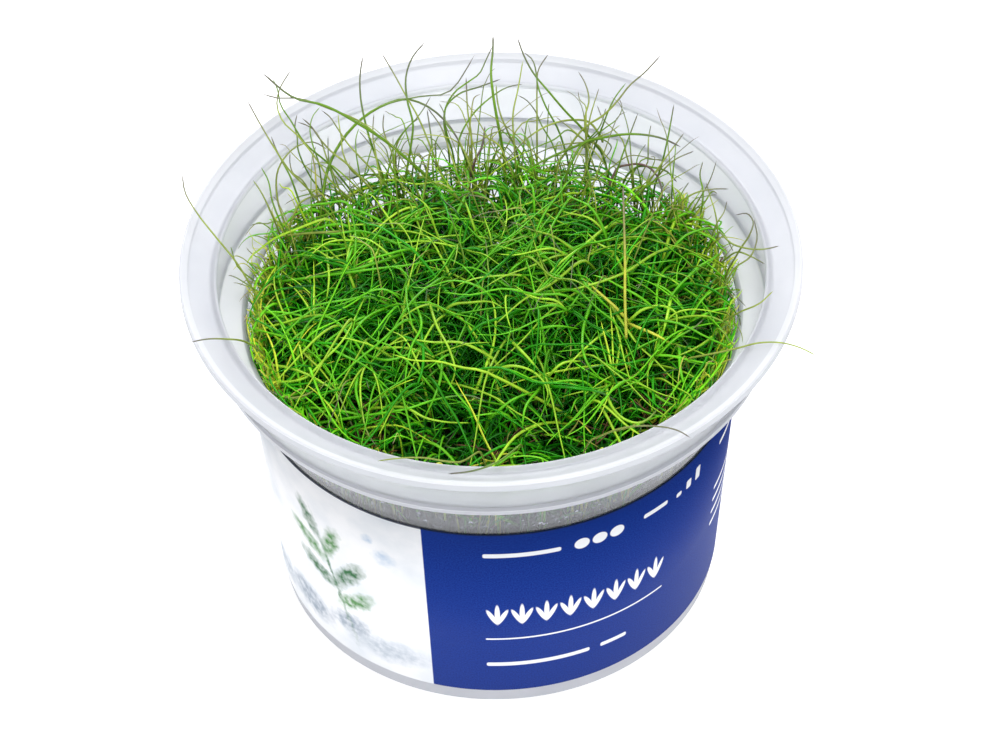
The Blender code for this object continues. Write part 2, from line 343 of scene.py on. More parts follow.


# %% [markdown]
# ## Six looks of one plastic
# The mould was sandblasted at the flange, the shoulder and the foot, lightly at the collar, and
# polished at the body. So the flange is milky, the collar lets more light through, and the body is
# nearly clear. The outer edge is so thick that it is almost white. The ledge inside the shoulder is
# painted almost white, painted light that lifts the shade in that recess. All are polypropylene, with
# an IOR of 1.49. A slow noise is the uneven flow of the plastic, a fine one its grain.

# %% Polypropylene
def polypropylene(name, low_tone, high_tone, roughness, transmission, grain_depth):
    """Natural polypropylene between two tones, as milky as its roughness and transmission say. The
    flow wanders over about 10 mm. The grain is drawn at 0.4 mm, coarser than real, so that it shows."""
    material, tree, shader, place, _ = mottled(
        name, (low_tone, high_tone), 90.0, 3.0, (0.3, 0.7),
        roughness=roughness, ior=1.49, transmission_weight=transmission,
    )
    grain = add_node(tree, "TexNoise", {"Vector": place, "Scale": 2500.0})
    bump = add_node(tree, "Bump", {
        "Height": grain.outputs["Fac"], "Strength": 0.25, "Distance": grain_depth,
    })
    tree.links.new(bump.outputs["Normal"], shader.inputs["Normal"])
    return material


def paint_band(thing, material, low, high):
    """Give the faces whose middle lies between two heights a second material."""
    mesh = thing.data
    middles = np.empty(len(mesh.polygons) * 3)
    mesh.polygons.foreach_get("center", middles)
    height = middles[2::3]
    mesh.materials.append(material)
    index = np.empty(len(mesh.polygons), np.int32)
    mesh.polygons.foreach_get("material_index", index)
    index[(height > low) & (height < high)] = len(mesh.materials) - 1
    mesh.polygons.foreach_set("material_index", index)
    print(thing.name, "faces by finish", np.bincount(index).tolist())


blasted = polypropylene("sandblasted_polypropylene", "#D1D4DC", "#DBDDE4", 0.45, 0.4, 0.03 * MM)
satin = polypropylene("lightly_blasted_polypropylene", "#E6E9EE", "#EEF0F4", 0.32, 0.83, 0.02 * MM)
# Painted light: an almost white, milky finish for the ledge that lifts its shade.
thick = polypropylene("ledge_painted_light_polypropylene", "#EEF0F6", "#F4F6FA", 0.5, 0.15, 0.02 * MM)
rim = polypropylene("milky_rim_polypropylene", "#E6E8EF", "#ECEEF4", 0.45, 0.2, 0.03 * MM)
edge = polypropylene("milky_edge_polypropylene", "#C9CCD3", "#D0D3DA", 0.45, 0.12, 0.03 * MM)
polished = polypropylene("polished_polypropylene", "#DADEE6", "#E6E9F0", 0.1, 0.9, 0.004 * MM)
flange_slope = FLANGE_FALL / (LIP_RADIUS - FLANGE_FOOT_RADIUS)
tub_corners = (
    (0.0, FLOOR, 0.0),
    (body_radius(FLOOR) - WALL, FLOOR, 1.5 * MM),
    (body_radius(LABEL_BOTTOM) - WALL, LABEL_BOTTOM, 0.0),
    (body_radius(SHOULDER) - WALL, SHOULDER + 0.5 * MM, 0.9 * MM),
    (COLLAR_INNER, SHOULDER + 0.9 * MM, 0.5 * MM),
    (COLLAR_INNER, HEIGHT - BEAD_FALL - 1.6 * MM, 0.2 * MM),
    (BEAD_RADIUS, HEIGHT - BEAD_FALL - 1.0 * MM, 0.2 * MM),
    (BEAD_RADIUS, HEIGHT - BEAD_FALL, 0.35 * MM),
    (FLANGE_FOOT_RADIUS, HEIGHT - FLANGE_FALL, 0.5 * MM),
    (LIP_RADIUS - RIM_STRIP, HEIGHT - RIM_STRIP * flange_slope, 0.0),
    (LIP_RADIUS, HEIGHT, 0.3 * MM),
    (LIP_RADIUS, HEIGHT - LIP_FACE, 0.15 * MM),
    (LIP_RADIUS - 1.1 * MM, HEIGHT - LIP_FACE - 0.2 * MM, 0.1 * MM),
    (FLANGE_FOOT_RADIUS, HEIGHT - FLANGE_FALL - FLANGE_THICKNESS, 0.3 * MM),
    (FLANGE_FOOT_RADIUS, SHOULDER + 1.3 * MM, 0.1 * MM),
    (COLLAR_FOOT_RADIUS, SHOULDER + 0.9 * MM, 0.12 * MM),
    (COLLAR_FOOT_RADIUS, SHOULDER, 0.3 * MM),
    (body_radius(SHOULDER), SHOULDER - 0.4 * MM, 0.35 * MM),
    (body_radius(LABEL_BOTTOM), LABEL_BOTTOM, 0.0),
    (body_radius(0.0), 0.0, 1.2 * MM),
    (0.0, 0.0, 0.0),
)
tub = turned("frosted_tub", rounded(tub_corners, 6), blasted)
paint_band(tub, satin, SHOULDER + 1.4 * MM, HEIGHT - BEAD_FALL - 1.0 * MM)
# Painted light on the ledge inside the shoulder.
paint_band(tub, thick, SHOULDER + 0.6 * MM, SHOULDER + 1.0 * MM)
paint_band(tub, edge, HEIGHT - 1.6 * MM, HEIGHT - 0.7 * MM)
paint_band(tub, rim, HEIGHT - 0.7 * MM, HEIGHT)
paint_band(tub, polished, LABEL_BOTTOM, SHOULDER - 0.6 * MM)
finish_piece(tub, "frosted_polypropylene", "tub")

# %% [markdown]
# ## The label
# One strip of paper goes round the body and is open for a few millimetres at the back. It is a
# surface of two parameters, the distance round in millimetres and the distance up, and those two
# numbers are also its UV map, so the print can be drawn in real millimetres.

# %% Label sheet
LABEL_TOP = 44.3 * MM
LABEL_SEAM = math.radians(6)
LABEL_STANDOFF = 0.2 * MM
LABEL_RADIUS = body_radius((LABEL_BOTTOM + LABEL_TOP) / 2)


def label_sheet(material, back):
    """The strip: the point at turn a and height z is (r sin a, -r cos a, z) with r the body's radius
    plus the standoff. Turn 0 faces the front. Solidify gives the paper its thickness and its back."""
    turn = np.linspace(-math.pi + LABEL_SEAM / 2, math.pi - LABEL_SEAM / 2, 240)
    height = np.linspace(LABEL_BOTTOM, LABEL_TOP, 3)[:, None]
    radius = body_radius(height) + LABEL_STANDOFF
    points = np.stack([radius * np.sin(turn), -radius * np.cos(turn), height + 0 * turn], axis=-1)
    quads = grid_quads(len(height), len(turn), False)
    sheet = add_mesh("printed_label", points, quads, material)
    across = np.stack([
        LABEL_RADIUS * turn / MM + 0 * height,
        (height - LABEL_BOTTOM) / MM + 0 * turn,
    ], axis=-1).reshape(-1, 2)
    print_map = sheet.data.uv_layers.new(name="print_mm")
    corners = np.empty(len(sheet.data.loops), np.int32)
    sheet.data.loops.foreach_get("vertex_index", corners)
    print_map.data.foreach_set("uv", across[corners].astype(np.float32).ravel())
    paper = sheet.modifiers.new("Paper", "SOLIDIFY")
    paper.thickness = 0.12 * MM
    paper.offset = -1.0
    paper.material_offset = 1
    sheet.data.materials.append(back)
    return sheet


# %% [markdown]
# ## The print
# The label has a pale panel with a soft painted sprig and pebbles, and a deep blue panel with white
# bars, dots, steps and a row of little tufts. Every mark is a small distance function on the
# millimetre map: a bar is a rounded box, a dot a circle, a leaf a turned ellipse.

# %% [markdown]
# ### Where each mark stands
# All in millimetres on the label: how far round from the front, to the right, and how far up from its
# lower edge. Panels and bars are left, right, bottom, top. A painted shape is an ellipse: its place,
# half sizes, turn in degrees, colour and how softly it ends.

# %% Marks
PALE_PANEL = (-72.0, -12.0, -9.0, 99.0)
# A dark line along the top edge of the label.
DARK_TOP_LINE = (-200.0, 200.0, 40.5, 41.5)
DOTS = (13.0, 16.0, 19.0)
DOTS_HEIGHT = 35.4
DOT_RADIUS = 1.25
TUFT_ROW = (-2.6, 29.4, 17.6)
TUFT_PITCH = 4.0
TUFT_HEIGHT = 5.0
WHITE_BARS = (
    (-2.6, 9.6, 34.9, 35.9),
    (24.0, 28.9, 34.9, 35.9),
    (31.0, 32.2, 34.4, 35.4),
    (33.4, 34.6, 34.4, 36.4),
    (35.8, 37.0, 34.4, 37.4),
    (-2.6, 29.4, 13.6, 13.95),
    (-2.6, 15.0, 6.6, 7.5),
    (17.0, 22.0, 6.6, 7.5),
    (44.0, 50.0, 34.9, 35.9),
    (44.0, 62.0, 24.0, 24.8),
    (44.0, 58.0, 21.0, 21.8),
    (44.0, 66.0, 18.0, 18.8),
    (44.0, 60.0, 15.0, 15.8),
    (80.0, 102.0, 33.0, 34.0),
    (80.0, 108.0, 27.0, 27.8),
    (80.0, 104.0, 24.0, 24.8),
    (80.0, 106.0, 21.0, 21.8),
    (80.0, 98.0, 18.0, 18.8),
)
LEAF_GREEN = "#5C8F57"
LEAF_DEEP = "#3C6F48"
PEBBLE_GREY = "#9AA6B4"
PEBBLE_PALE = "#BCC5CF"
BUBBLE_BLUE = "#C3D2E4"
PAINTED_SHAPES = (
    ((-20.0, 5.5), (7.0, 2.4), 4, PEBBLE_PALE, 0.5),
    ((-38.0, 6.0), (5.5, 3.0), -6, PEBBLE_GREY, 0.4),
    ((-27.5, 8.0), (4.0, 2.2), 8, PEBBLE_GREY, 0.4),
    ((-48.0, 5.0), (5.5, 2.6), 0, PEBBLE_PALE, 0.4),
    ((-30.0, 18.0), (0.4, 10.0), 14, LEAF_DEEP, 0.7),
    ((-25.8, 14.5), (1.6, 4.4), -52, LEAF_GREEN, 0.4),
    ((-33.6, 17.5), (1.5, 4.2), 66, LEAF_DEEP, 0.4),
    ((-26.6, 20.5), (1.6, 4.6), -38, LEAF_DEEP, 0.4),
    ((-35.2, 23.5), (1.5, 4.2), 58, LEAF_GREEN, 0.4),
    ((-29.8, 26.5), (1.4, 4.2), -20, LEAF_GREEN, 0.4),
    ((-34.6, 29.5), (1.2, 3.6), 26, LEAF_DEEP, 0.45),
    ((-19.0, 30.0), (1.5, 1.5), 0, BUBBLE_BLUE, 0.5),
    ((-21.5, 33.5), (0.9, 0.9), 0, BUBBLE_BLUE, 0.5),
)

# %% [markdown]
# ### Masks
# A mask is white inside its shape. Each takes the millimetre map and gives one number.

# %% Print
SOFT_EDGE = 0.06


def bar_mask(tree, place, left, right, bottom, top, round_off):
    """White inside a rounded box: the distance to a shrunken box is less than the rounding."""
    centre = ((left + right) / 2, (bottom + top) / 2, 0)
    half = ((right - left) / 2 - round_off, (top - bottom) / 2 - round_off, 9)
    steps = (("SUBTRACT", centre), ("ABSOLUTE", centre), ("SUBTRACT", half), ("MAXIMUM", (0, 0, 0)))
    for operation, other in steps:
        place = add_node(tree, "VectorMath", {0: place, 1: other}, operation=operation).outputs[0]
    away = add_node(tree, "VectorMath", {0: place}, operation="LENGTH")
    return add_node(tree, "MapRange", {
        "Value": away.outputs["Value"],
        "From Min": round_off + SOFT_EDGE, "From Max": round_off - SOFT_EDGE,
    }).outputs["Result"]


def ellipse_mask(tree, place, at, half, turn=0.0, edge=0.03):
    """White inside a turned ellipse: the length of the point in the ellipse's own units is below 1."""
    moved = add_node(tree, "Mapping", {
        "Vector": place, "Location": (*at, 0), "Rotation": (0, 0, math.radians(turn)), "Scale": (*half, 1),
    }, vector_type="TEXTURE")
    away = add_node(tree, "VectorMath", {0: moved.outputs[0]}, operation="LENGTH")
    return add_node(tree, "MapRange", {
        "Value": away.outputs["Value"], "From Min": 1 + edge, "From Max": 1 - edge,
    }).outputs["Result"]


def layered(tree, colour, layers):
    """Layers of print, each a mask and a colour, laid over a ground colour one after another."""
    for mask, layer in layers:
        colour = add_node(tree, "Mix", {0: mask, 6: colour, 7: layer}, data_type="RGBA").outputs[2]
    return colour


def printed_paper():
    """Coated paper printed in blue: satin varnish, a fine speckle of ink, marks left white."""
    material, tree, shader = new_material("offset_printed_paper", roughness=0.5, specular_ior_level=0.05)
    place = add_node(tree, "UVMap", uv_map="print_mm").outputs["UV"]
    speckle = add_node(tree, "TexNoise", {"Vector": place, "Scale": 4.0, "Detail": 3.0})
    ink = add_node(tree, "MapRange", {
        "Value": speckle.outputs["Fac"], "From Min": 0.35, "From Max": 0.65,
    }).outputs["Result"]
    marks = tuft_row(tree, place)
    for x in DOTS:
        marks.append(ellipse_mask(tree, place, (x, DOTS_HEIGHT), (DOT_RADIUS, DOT_RADIUS), edge=0.05))
    for left, right, bottom, top in WHITE_BARS:
        marks.append(bar_mask(tree, place, left, right, bottom, top, min(0.35, (top - bottom) / 2)))
    white = marks[0]
    for mark in marks[1:]:
        white = add_node(tree, "Math", {0: white, 1: mark}, operation="MAXIMUM").outputs[0]
    colour = layered(tree, linear("#0F2A7C"), (
        (ink, linear("#173A90")),
        (white, linear("#F4F6FA")),
        (bar_mask(tree, place, *PALE_PANEL, 0.1), painted_panel(tree, place)),
        (bar_mask(tree, place, *DARK_TOP_LINE, 0.05), linear("#1B2740")),
    ))
    tree.links.new(colour, shader.inputs["Base Color"])
    fibre = add_node(tree, "TexNoise", {"Vector": place, "Scale": 1.5, "Detail": 4.0})
    bump = add_node(tree, "Bump", {
        "Height": fibre.outputs["Fac"], "Strength": 0.12, "Distance": 0.05 * MM,
    })
    tree.links.new(bump.outputs["Normal"], shader.inputs["Normal"])
    return material


def tuft_row(tree, place):
    """A row of three-bladed tufts: the distance round is folded into one pitch, so three ellipses
    are drawn once and repeat, and a bar's mask keeps them to the row."""
    left, right, foot = TUFT_ROW
    parts = add_node(tree, "SeparateXYZ", {0: place})
    shifted = add_node(tree, "Math", {0: parts.outputs["X"], 1: left}, operation="SUBTRACT")
    folded = add_node(tree, "Math", {
        0: shifted.outputs[0], 1: TUFT_PITCH,
    }, operation="FLOORED_MODULO")
    cell = add_node(tree, "CombineXYZ", {"X": folded.outputs[0], "Y": parts.outputs["Y"]})
    inside = bar_mask(tree, place, left, right, foot - 1, foot + TUFT_HEIGHT + 1, 0.1)
    middle = TUFT_PITCH / 2
    blades = []
    for lean, size in ((-24, 0.82), (0, 1.0), (24, 0.82)):
        half = TUFT_HEIGHT * size / 2
        at = (
            middle + half * math.sin(math.radians(-lean)),
            foot + half * math.cos(math.radians(lean)),
        )
        blade = ellipse_mask(tree, cell.outputs[0], at, (0.42, half), lean, 0.12)
        blades.append(
            add_node(tree, "Math", {0: blade, 1: inside}, operation="MULTIPLY").outputs[0]
        )
    return blades


def painted_panel(tree, place):
    """The pale panel: a watery wash, a sprig with oval leaves, round pebbles and two bubbles. A noise
    pushes the map about, so that every edge wavers like paint."""
    waver = add_node(tree, "TexNoise", {"Vector": place, "Scale": 0.55, "Detail": 3.0})
    push = add_node(tree, "VectorMath", {
        0: waver.outputs["Color"], 1: (0.5, 0.5, 0.5),
    }, operation="SUBTRACT")
    moved = add_node(tree, "VectorMath", {
        0: push.outputs[0], 1: (2.4, 2.4, 0), 2: place,
    }, operation="MULTIPLY_ADD").outputs[0]
    wash = add_node(tree, "TexNoise", {"Vector": place, "Scale": 0.09, "Detail": 5.0})
    cloud = add_node(tree, "MapRange", {
        "Value": wash.outputs["Fac"], "From Min": 0.42, "From Max": 0.75,
    }).outputs["Result"]
    dabs = add_node(tree, "TexNoise", {"Vector": place, "Scale": 0.8, "Detail": 4.0})
    density = add_node(tree, "MapRange", {
        "Value": dabs.outputs["Fac"], "From Min": 0.3, "From Max": 0.62, "To Min": 0.35,
    }).outputs["Result"]
    layers = [(cloud, linear("#DDE3EA"))]
    for at, half, turn, hue, edge in PAINTED_SHAPES:
        mask = ellipse_mask(tree, moved, at, half, turn, edge)
        soft = add_node(tree, "Math", {0: mask, 1: density}, operation="MULTIPLY").outputs[0]
        layers.append((soft, linear(hue)))
    return layered(tree, linear("#F8F9FC"), layers)


def unprinted_paper():
    """The back of the label: bare white paper, seen through the wall, mottled at about 3 mm."""
    return mottled("unprinted_paper", ("#E8E8E6", "#F4F4F2"), 300.0, 4.0, roughness=0.8)[0]


label = label_sheet(printed_paper(), unprinted_paper())
finish_piece(label, "printed_paper", "label")

# %% [markdown]
# ## The gel and the condensation
# The plants stand in clear growing gel, another turned outline, with the refraction of water. Tiny
# drops of condensation sit inside the wall just above the label. Each is a coarse dome of 27 faces,
# and one array holds them all.

# %% Gel and drops
GEL_TOP = 16.0 * MM
GEL_MENISCUS = 1.2 * MM
TIGHT = 0.05 * MM


def inner_radius(height):
    """Inner radius of the body: the outer radius less the wall."""
    return body_radius(height) - WALL


def growing_gel():
    """Agar gel: water set firm, slightly cloudy, wet on top."""
    return mottled(
        "agar_gel", ("#E9E6CF", "#C9C6A6"), 160.0, 3.0, roughness=0.12, ior=1.34, transmission_weight=0.8
    )[0]


gel_edge = GEL_TOP + GEL_MENISCUS
gel_corners = (
    (0.0, GEL_TOP, 0.0),
    (inner_radius(gel_edge) - 2.5 * MM, GEL_TOP, 2.0 * MM),
    (inner_radius(gel_edge) - TIGHT, gel_edge, 0.0),
    (inner_radius(FLOOR) - TIGHT, FLOOR + TIGHT, 1.5 * MM),
    (0.0, FLOOR + TIGHT, 0.0),
)
gel = turned("agar_gel", rounded(gel_corners, 5), growing_gel(), 96)
finish_piece(gel, "growing_gel", "gel")


def condensation(material, count=1100):
    """Drops on the inner wall. A drop is a dome on the wall's surface: its point at polar angle p and
    turn q lies r (sin p cos q) round, r (sin p sin q) up and r cos p / 2 in towards the axis."""
    chance = np.random.default_rng(5)
    turn = chance.uniform(-math.pi, math.pi, count)
    height = LABEL_TOP + 10.5 * MM * chance.beta(0.8, 2.4, count)
    size = chance.lognormal(math.log(0.16), 0.5, count).clip(0.07, 0.5) * MM
    radius = inner_radius(height) - 0.02 * MM
    polar = np.linspace(0, math.pi / 2, 4)[:, None]
    around = np.linspace(0, 2 * math.pi, 8, endpoint=False)
    up = np.array([0.0, 0.0, 1.0])
    wall = np.stack([np.sin(turn), -np.cos(turn), 0 * turn], axis=-1)
    along = np.stack([np.cos(turn), np.sin(turn), 0 * turn], axis=-1)
    middle = wall * radius[:, None] + up * height[:, None]
    dome = (
        (np.sin(polar) * np.cos(around))[..., None] * along[:, None, None]
        + (np.sin(polar) * np.sin(around))[..., None] * up
        - (np.cos(polar) / 2 + 0 * around)[..., None] * wall[:, None, None]
    )
    points = middle[:, None, None] + size[:, None, None, None] * dome
    lid = np.array([[24, 25, 26, 27], [24, 27, 28, 31], [28, 29, 30, 31]])
    quads = np.concatenate([grid_quads(4, 8, True), lid])
    shift = (np.arange(count) * 32)[:, None, None]
    drops = add_mesh("condensation", points, (quads + shift).reshape(-1, 4), material)
    weld(drops, 0.002 * MM)
    return drops


def clear_water():
    """Condensed water: clear, sharp, IOR 1.33."""
    return mottled(
        "condensed_water", ("#F4F8FF", "#FFFFFF"), 900.0, roughness=0.03, ior=1.33, transmission_weight=1.0
    )[0]


drops = condensation(clear_water())
finish_piece(drops, "growing_gel")

# %% [markdown]
# ## The shape of the sward
# The plants fill the cup as one low dome that is lumpy on top. `mat_height` gives that dome, and
# `reach` says how far from the axis a stem may be at each height. `eased` keeps a value below its
# limit without a corner: before the limit it grows ever more slowly. All three take whole arrays.
# A hollow is its middle, its width and its depth, in millimetres.

# %% The room that the stems have
SWARD_EDGE_HEIGHT = HEIGHT - 13.5 * MM
SWARD_RISE = 8.5 * MM
SWARD_BACK_FALL = 5.0 * MM
SWARD_BACK_START = 18.0 * MM
SWARD_LUMP = 1.0 * MM
HOLLOWS = (
    (16.0, -29.0, 6.0, 3.5),
    (-22.0, -27.0, 5.0, 3.0),
    (25.0, -21.0, 5.0, 2.5),
    (-2.0, -33.0, 5.0, 2.0),
    (8.0, -14.0, 4.0, 1.5),
    (-10.0, 2.0, 4.0, 1.5),
)


def mat_height(x, y):
    """The dome: the edge height, plus a rise that falls to zero at the wall, less a fall towards the
    back, plus slow waves for the lumps, less a few bell-shaped hollows."""
    wall = inner_radius(SWARD_EDGE_HEIGHT)
    share = np.minimum(np.hypot(x, y) / wall, 1)
    waves = (
        np.sin(x / (2.9 * MM) + 1.7) * np.cos(y / (3.7 * MM) + 0.4)
        + 0.6 * np.cos(x / (1.7 * MM) - y / (2.3 * MM) + 2.2)
    )
    height = SWARD_EDGE_HEIGHT + SWARD_RISE * (1 - share ** 2) ** 0.75
    behind = np.clip((y - SWARD_BACK_START) / (wall - SWARD_BACK_START), 0, 1)
    height = height - SWARD_BACK_FALL * behind ** 1.3 + SWARD_LUMP * waves * (1 - share ** 4)
    for middle_x, middle_y, width, depth in HOLLOWS:
        away = ((x / MM - middle_x) ** 2 + (y / MM - middle_y) ** 2) / width ** 2
        height = height - depth * MM * np.exp(-away)
    return height


def reach(height, spare, spread):
    """The largest distance from the axis: the body's inner radius less the spare room, above the
    shoulder as much wider as the stems spread into the collar, and opening above the rim."""
    wider = spread * np.clip((height - SHOULDER - 0.8 * MM) / (2.5 * MM), 0, 1)
    opening = np.interp(height, [HEIGHT + 1 * MM, HEIGHT + 5 * MM], [0, 5 * MM])
    return inner_radius(np.minimum(height, SHOULDER)) - spare + wider + opening


def eased(value, limit, give):
    """The value, or past limit - give: limit - give exp(-(value - limit + give) / give)."""
    past = np.maximum(value - limit + give, 0)
    return np.minimum(value, limit - give * np.exp(-past / give))


# %% [markdown]
# ## One stem, many stems
# A stem arches over under its own weight. Its lean and its heading change along its length, and
# adding up the directions gives its line, for an array of stems at once. Lines that come to the wall
# are eased along it, so that the stems at the edge stand straight against the plastic, and each is
# eased below a ceiling of its own, which keeps the sward a mat.

# %% Centre lines
def arching_lines(chance, lean, droop, heading, curl, steps):
    """Lines of length 1 from the origin, of shape (stems, points, 3). With t from 0 at the root to 1
    at the tip, the lean is lean + droop t^1.4 and the heading is heading + curl t, each with a slow
    wave of its own."""
    t = np.linspace(0, 1, steps + 1)
    middle = (t[1:] + t[:-1]) / 2
    count = len(heading)
    phase = chance.uniform(0, 2 * math.pi, (count, 1))
    tilt = lean[:, None] + droop[:, None] * middle ** 1.4 + 0.05 * np.sin(4 * middle + 2 * phase)
    towards = heading[:, None] + curl[:, None] * middle + 0.05 * np.sin(4 * middle + phase)
    stride = np.stack([
        np.sin(tilt) * np.cos(towards),
        np.sin(tilt) * np.sin(towards),
        np.cos(tilt),
    ], axis=-1) / steps
    return np.concatenate([np.zeros((count, 1, 3)), stride.cumsum(axis=1)], axis=1)


EASE_BELOW_CEILING = 2.0 * MM
EASE_AT_WALL = 3.0 * MM


def kept_inside(line, spare, spread, ceiling):
    """Ease points below the ceiling over the mat, then inside the wall less the spare room."""
    surface = mat_height(line[..., 0], line[..., 1])
    height = surface + eased(line[..., 2] - surface, ceiling, EASE_BELOW_CEILING)
    away = np.hypot(line[..., 0], line[..., 1])
    share = eased(away, reach(height, spare, spread), EASE_AT_WALL) / np.maximum(away, MM)
    return np.concatenate([line[..., :2] * share[..., None], height[..., None]], axis=-1)


# %% [markdown]
# ## From lines to stems
# Every stem is a thin tapering tube with three sides, or six where it is traced. At each point of its
# line two directions at right angles to the line carry a ring, and quads join the rings, with a cap
# at the root and a point at the tip. The colour is an attribute at the points.

# %% Tubes along lines
def tubes(name, lines, thick, taper, colour, material, sides=3):
    """Tubes round lines (stems, points, 3). The radius is thick (1 - (1 - taper) t^2). Ring point k
    is the line's point plus the radius times (cos a_k side + sin a_k over)."""
    count, points, _ = lines.shape
    along = np.gradient(lines, axis=1)
    along /= np.linalg.norm(along, axis=2, keepdims=True) + 1e-12
    bow = np.cross(lines[:, points // 2] - lines[:, 0], lines[:, -1] - lines[:, points // 2])
    bow += np.array([1e-9, 2e-9, 1e-9])
    bow /= np.linalg.norm(bow, axis=1, keepdims=True)
    side = bow[:, None] - (bow[:, None] * along).sum(axis=2, keepdims=True) * along
    side /= np.linalg.norm(side, axis=2, keepdims=True) + 1e-12
    over = np.cross(along, side)
    t = np.linspace(0, 1, points)
    radius = thick[:, None] * (1 - (1 - taper) * t ** 2)
    turn = 2 * math.pi * np.arange(sides) / sides
    rings = (
        lines[:, :-1, None]
        + (radius[:, :-1, None] * np.cos(turn))[..., None] * side[:, :-1, None]
        + (radius[:, :-1, None] * np.sin(turn))[..., None] * over[:, :-1, None]
    )
    each = (points - 1) * sides + 1
    vertices = np.concatenate([rings.reshape(count, -1, 3), lines[:, -1:]], axis=1)
    quads = grid_quads(points - 1, sides, True)
    last = (points - 2) * sides + np.arange(sides)
    tip = np.stack([last, np.roll(last, -1), np.full(sides, each - 1)], axis=1)
    fan = np.stack([
        np.zeros(sides - 2, int), np.arange(sides - 1, 1, -1), np.arange(sides - 2, 0, -1),
    ], axis=1)
    shift = (np.arange(count) * each)[:, None, None]
    thing = add_mesh(
        name, vertices, (quads + shift).reshape(-1, 4), material,
        (np.concatenate([tip, fan]) + shift).reshape(-1, 3),
    )
    tint = np.concatenate([np.repeat(colour[:, :-1], sides, axis=1), colour[:, -1:]], axis=1).reshape(-1, 3)
    tint = np.concatenate([tint, np.ones((len(tint), 1))], axis=1)
    layer = thing.data.attributes.new("stem_tint", "FLOAT_COLOR", "POINT")
    layer.data.foreach_set("color", tint.astype(np.float32).ravel())
    return thing


# %% [markdown]
# ## Living stem tissue
# A fresh stem is a smooth waxy thread, deep green to yellow-green, with a soft highlight along it.
# Every stem gets one colour of a short list, and some tips have dried. Each stem is also painted darker
# at the root and a little lighter at the tip, painted shade for the depth of the sward. The attribute
# carries that, and a noise of about 1.4 mm adds the streaks.

# %% Stem finish
GREENS = {
    "deep": "#126A06",
    "mid": "#2E9A0E",
    "bright": "#68C61E",
    "lime": "#A8DC38",
    "moss": "#6F9A26",
    "olive": "#9AAB4C",
    "straw": "#D9DC4C",
    "brown": "#5E4630",
    "plum": "#6E5650",
}
DRY_TIP = "#6C6360"


def spikerush_tissue():
    """Waxy green stem: coloured by attribute, streaked by noise, with a soft waxy highlight."""
    material, tree, shader = new_material("waxy_spikerush_stem", roughness=0.38, specular_ior_level=0.28)
    tint = add_node(tree, "Attribute", attribute_name="stem_tint").outputs["Color"]
    place = add_node(tree, "TexCoord").outputs["Object"]
    streak = add_node(tree, "TexNoise", {"Vector": place, "Scale": 700.0, "Detail": 2.0})
    shade = add_node(tree, "MapRange", {
        "Value": streak.outputs["Fac"], "From Min": 0.3, "From Max": 0.7, "To Min": 0.85, "To Max": 1.15,
    }).outputs["Result"]
    toned = add_node(tree, "VectorMath", {0: tint, "Scale": shade}, operation="SCALE").outputs[0]
    tree.links.new(toned, shader.inputs["Base Color"])
    return material


def stem_colours(chance, count, points, mix, dry_share, painted_root_shade=0.3):
    """Colours (stems, points, 3): a list colour per stem in the given proportions, its own brightness,
    darker at the root as painted shade for the depth of the sward, and for some stems a dried tip."""
    names = list(mix)
    shares = np.array([mix[name] for name in names], float)
    table = np.array([linear(GREENS[name])[:3] for name in names])
    pick = chance.choice(len(names), count, p=shares / shares.sum())
    own = table[pick] * chance.normal(1, 0.13, (count, 1)).clip(0.6, 1.5)
    t = np.linspace(0, 1, points)
    # Painted shade: darker at the root, a little lighter at the tip.
    colour = own[:, None] * (painted_root_shade + (1.1 - painted_root_shade) * np.sqrt(t))[None, :, None]
    start = chance.uniform(0.5, 0.8, (count, 1))
    dry = (chance.random(count) < dry_share)[:, None] * np.clip((t - start) / (1 - start), 0, 1) ** 0.7
    return colour * (1 - dry[..., None]) + np.array(linear(DRY_TIP)[:3]) * dry[..., None]


tissue = spikerush_tissue()


# %% [markdown]
# ## Growing the sward
# The cup is filled in layers: short dark undergrowth, a middle layer that arches over it, and a few
# hundred long bright stems on top; the undergrowth's deep greens are partly painted shade and the top's
# bright greens partly painted light. Small spikerush also buds: a stem that touches down grows a
# plantlet, a little star of stems, so stars are set over the surface. Against the wall stand
# yellowish stems, painted lighter as by light through the plastic, at both sides fine ones tangle,
# and at the back thin ones rise free of the mat.

# %% Crops
SWARD_RADIUS = 38.3 * MM


def over_disc(chance, count):
    """Places spread evenly over a disc: the distance is the radius times the root of a random share."""
    distance = SWARD_RADIUS * np.sqrt(chance.random(count))
    turn = chance.uniform(-math.pi, math.pi, count)
    return distance * np.cos(turn), distance * np.sin(turn)


def thinner_behind(chance, count):
    """Places over the disc, but most of those at the back are moved forwards."""
    x, y = over_disc(chance, count)
    moved = (y > 19 * MM) & (chance.random(count) < 0.8)
    return x, np.where(moved, y - chance.uniform(18, 40, count) * MM, y)


def in_hollows(chance, count):
    """Places in the first hollows of the mat, where the old roots show."""
    middle = np.array(HOLLOWS)[chance.integers(0, 4, count)]
    return ((middle[:, i] + chance.normal(0, 0.5, count) * middle[:, 2]) * MM for i in range(2))


def at_wall(chance, count):
    """Places in the last millimetres before the wall, except at the back."""
    distance = (39.6 - chance.uniform(0, 2.6, count)) * MM
    turn = math.pi * (-0.5 + chance.uniform(-0.76, 0.76, count))
    return distance * np.cos(turn), distance * np.sin(turn)


def at_sides(chance, count):
    """Places near the wall on both sides, a little behind the middle, where fine stems tangle."""
    distance = (38.5 - chance.uniform(0, 5, count)) * MM
    turn = np.radians(chance.choice([22.0, 158.0], count) + chance.normal(0, 13, count))
    return distance * np.cos(turn), distance * np.sin(turn)


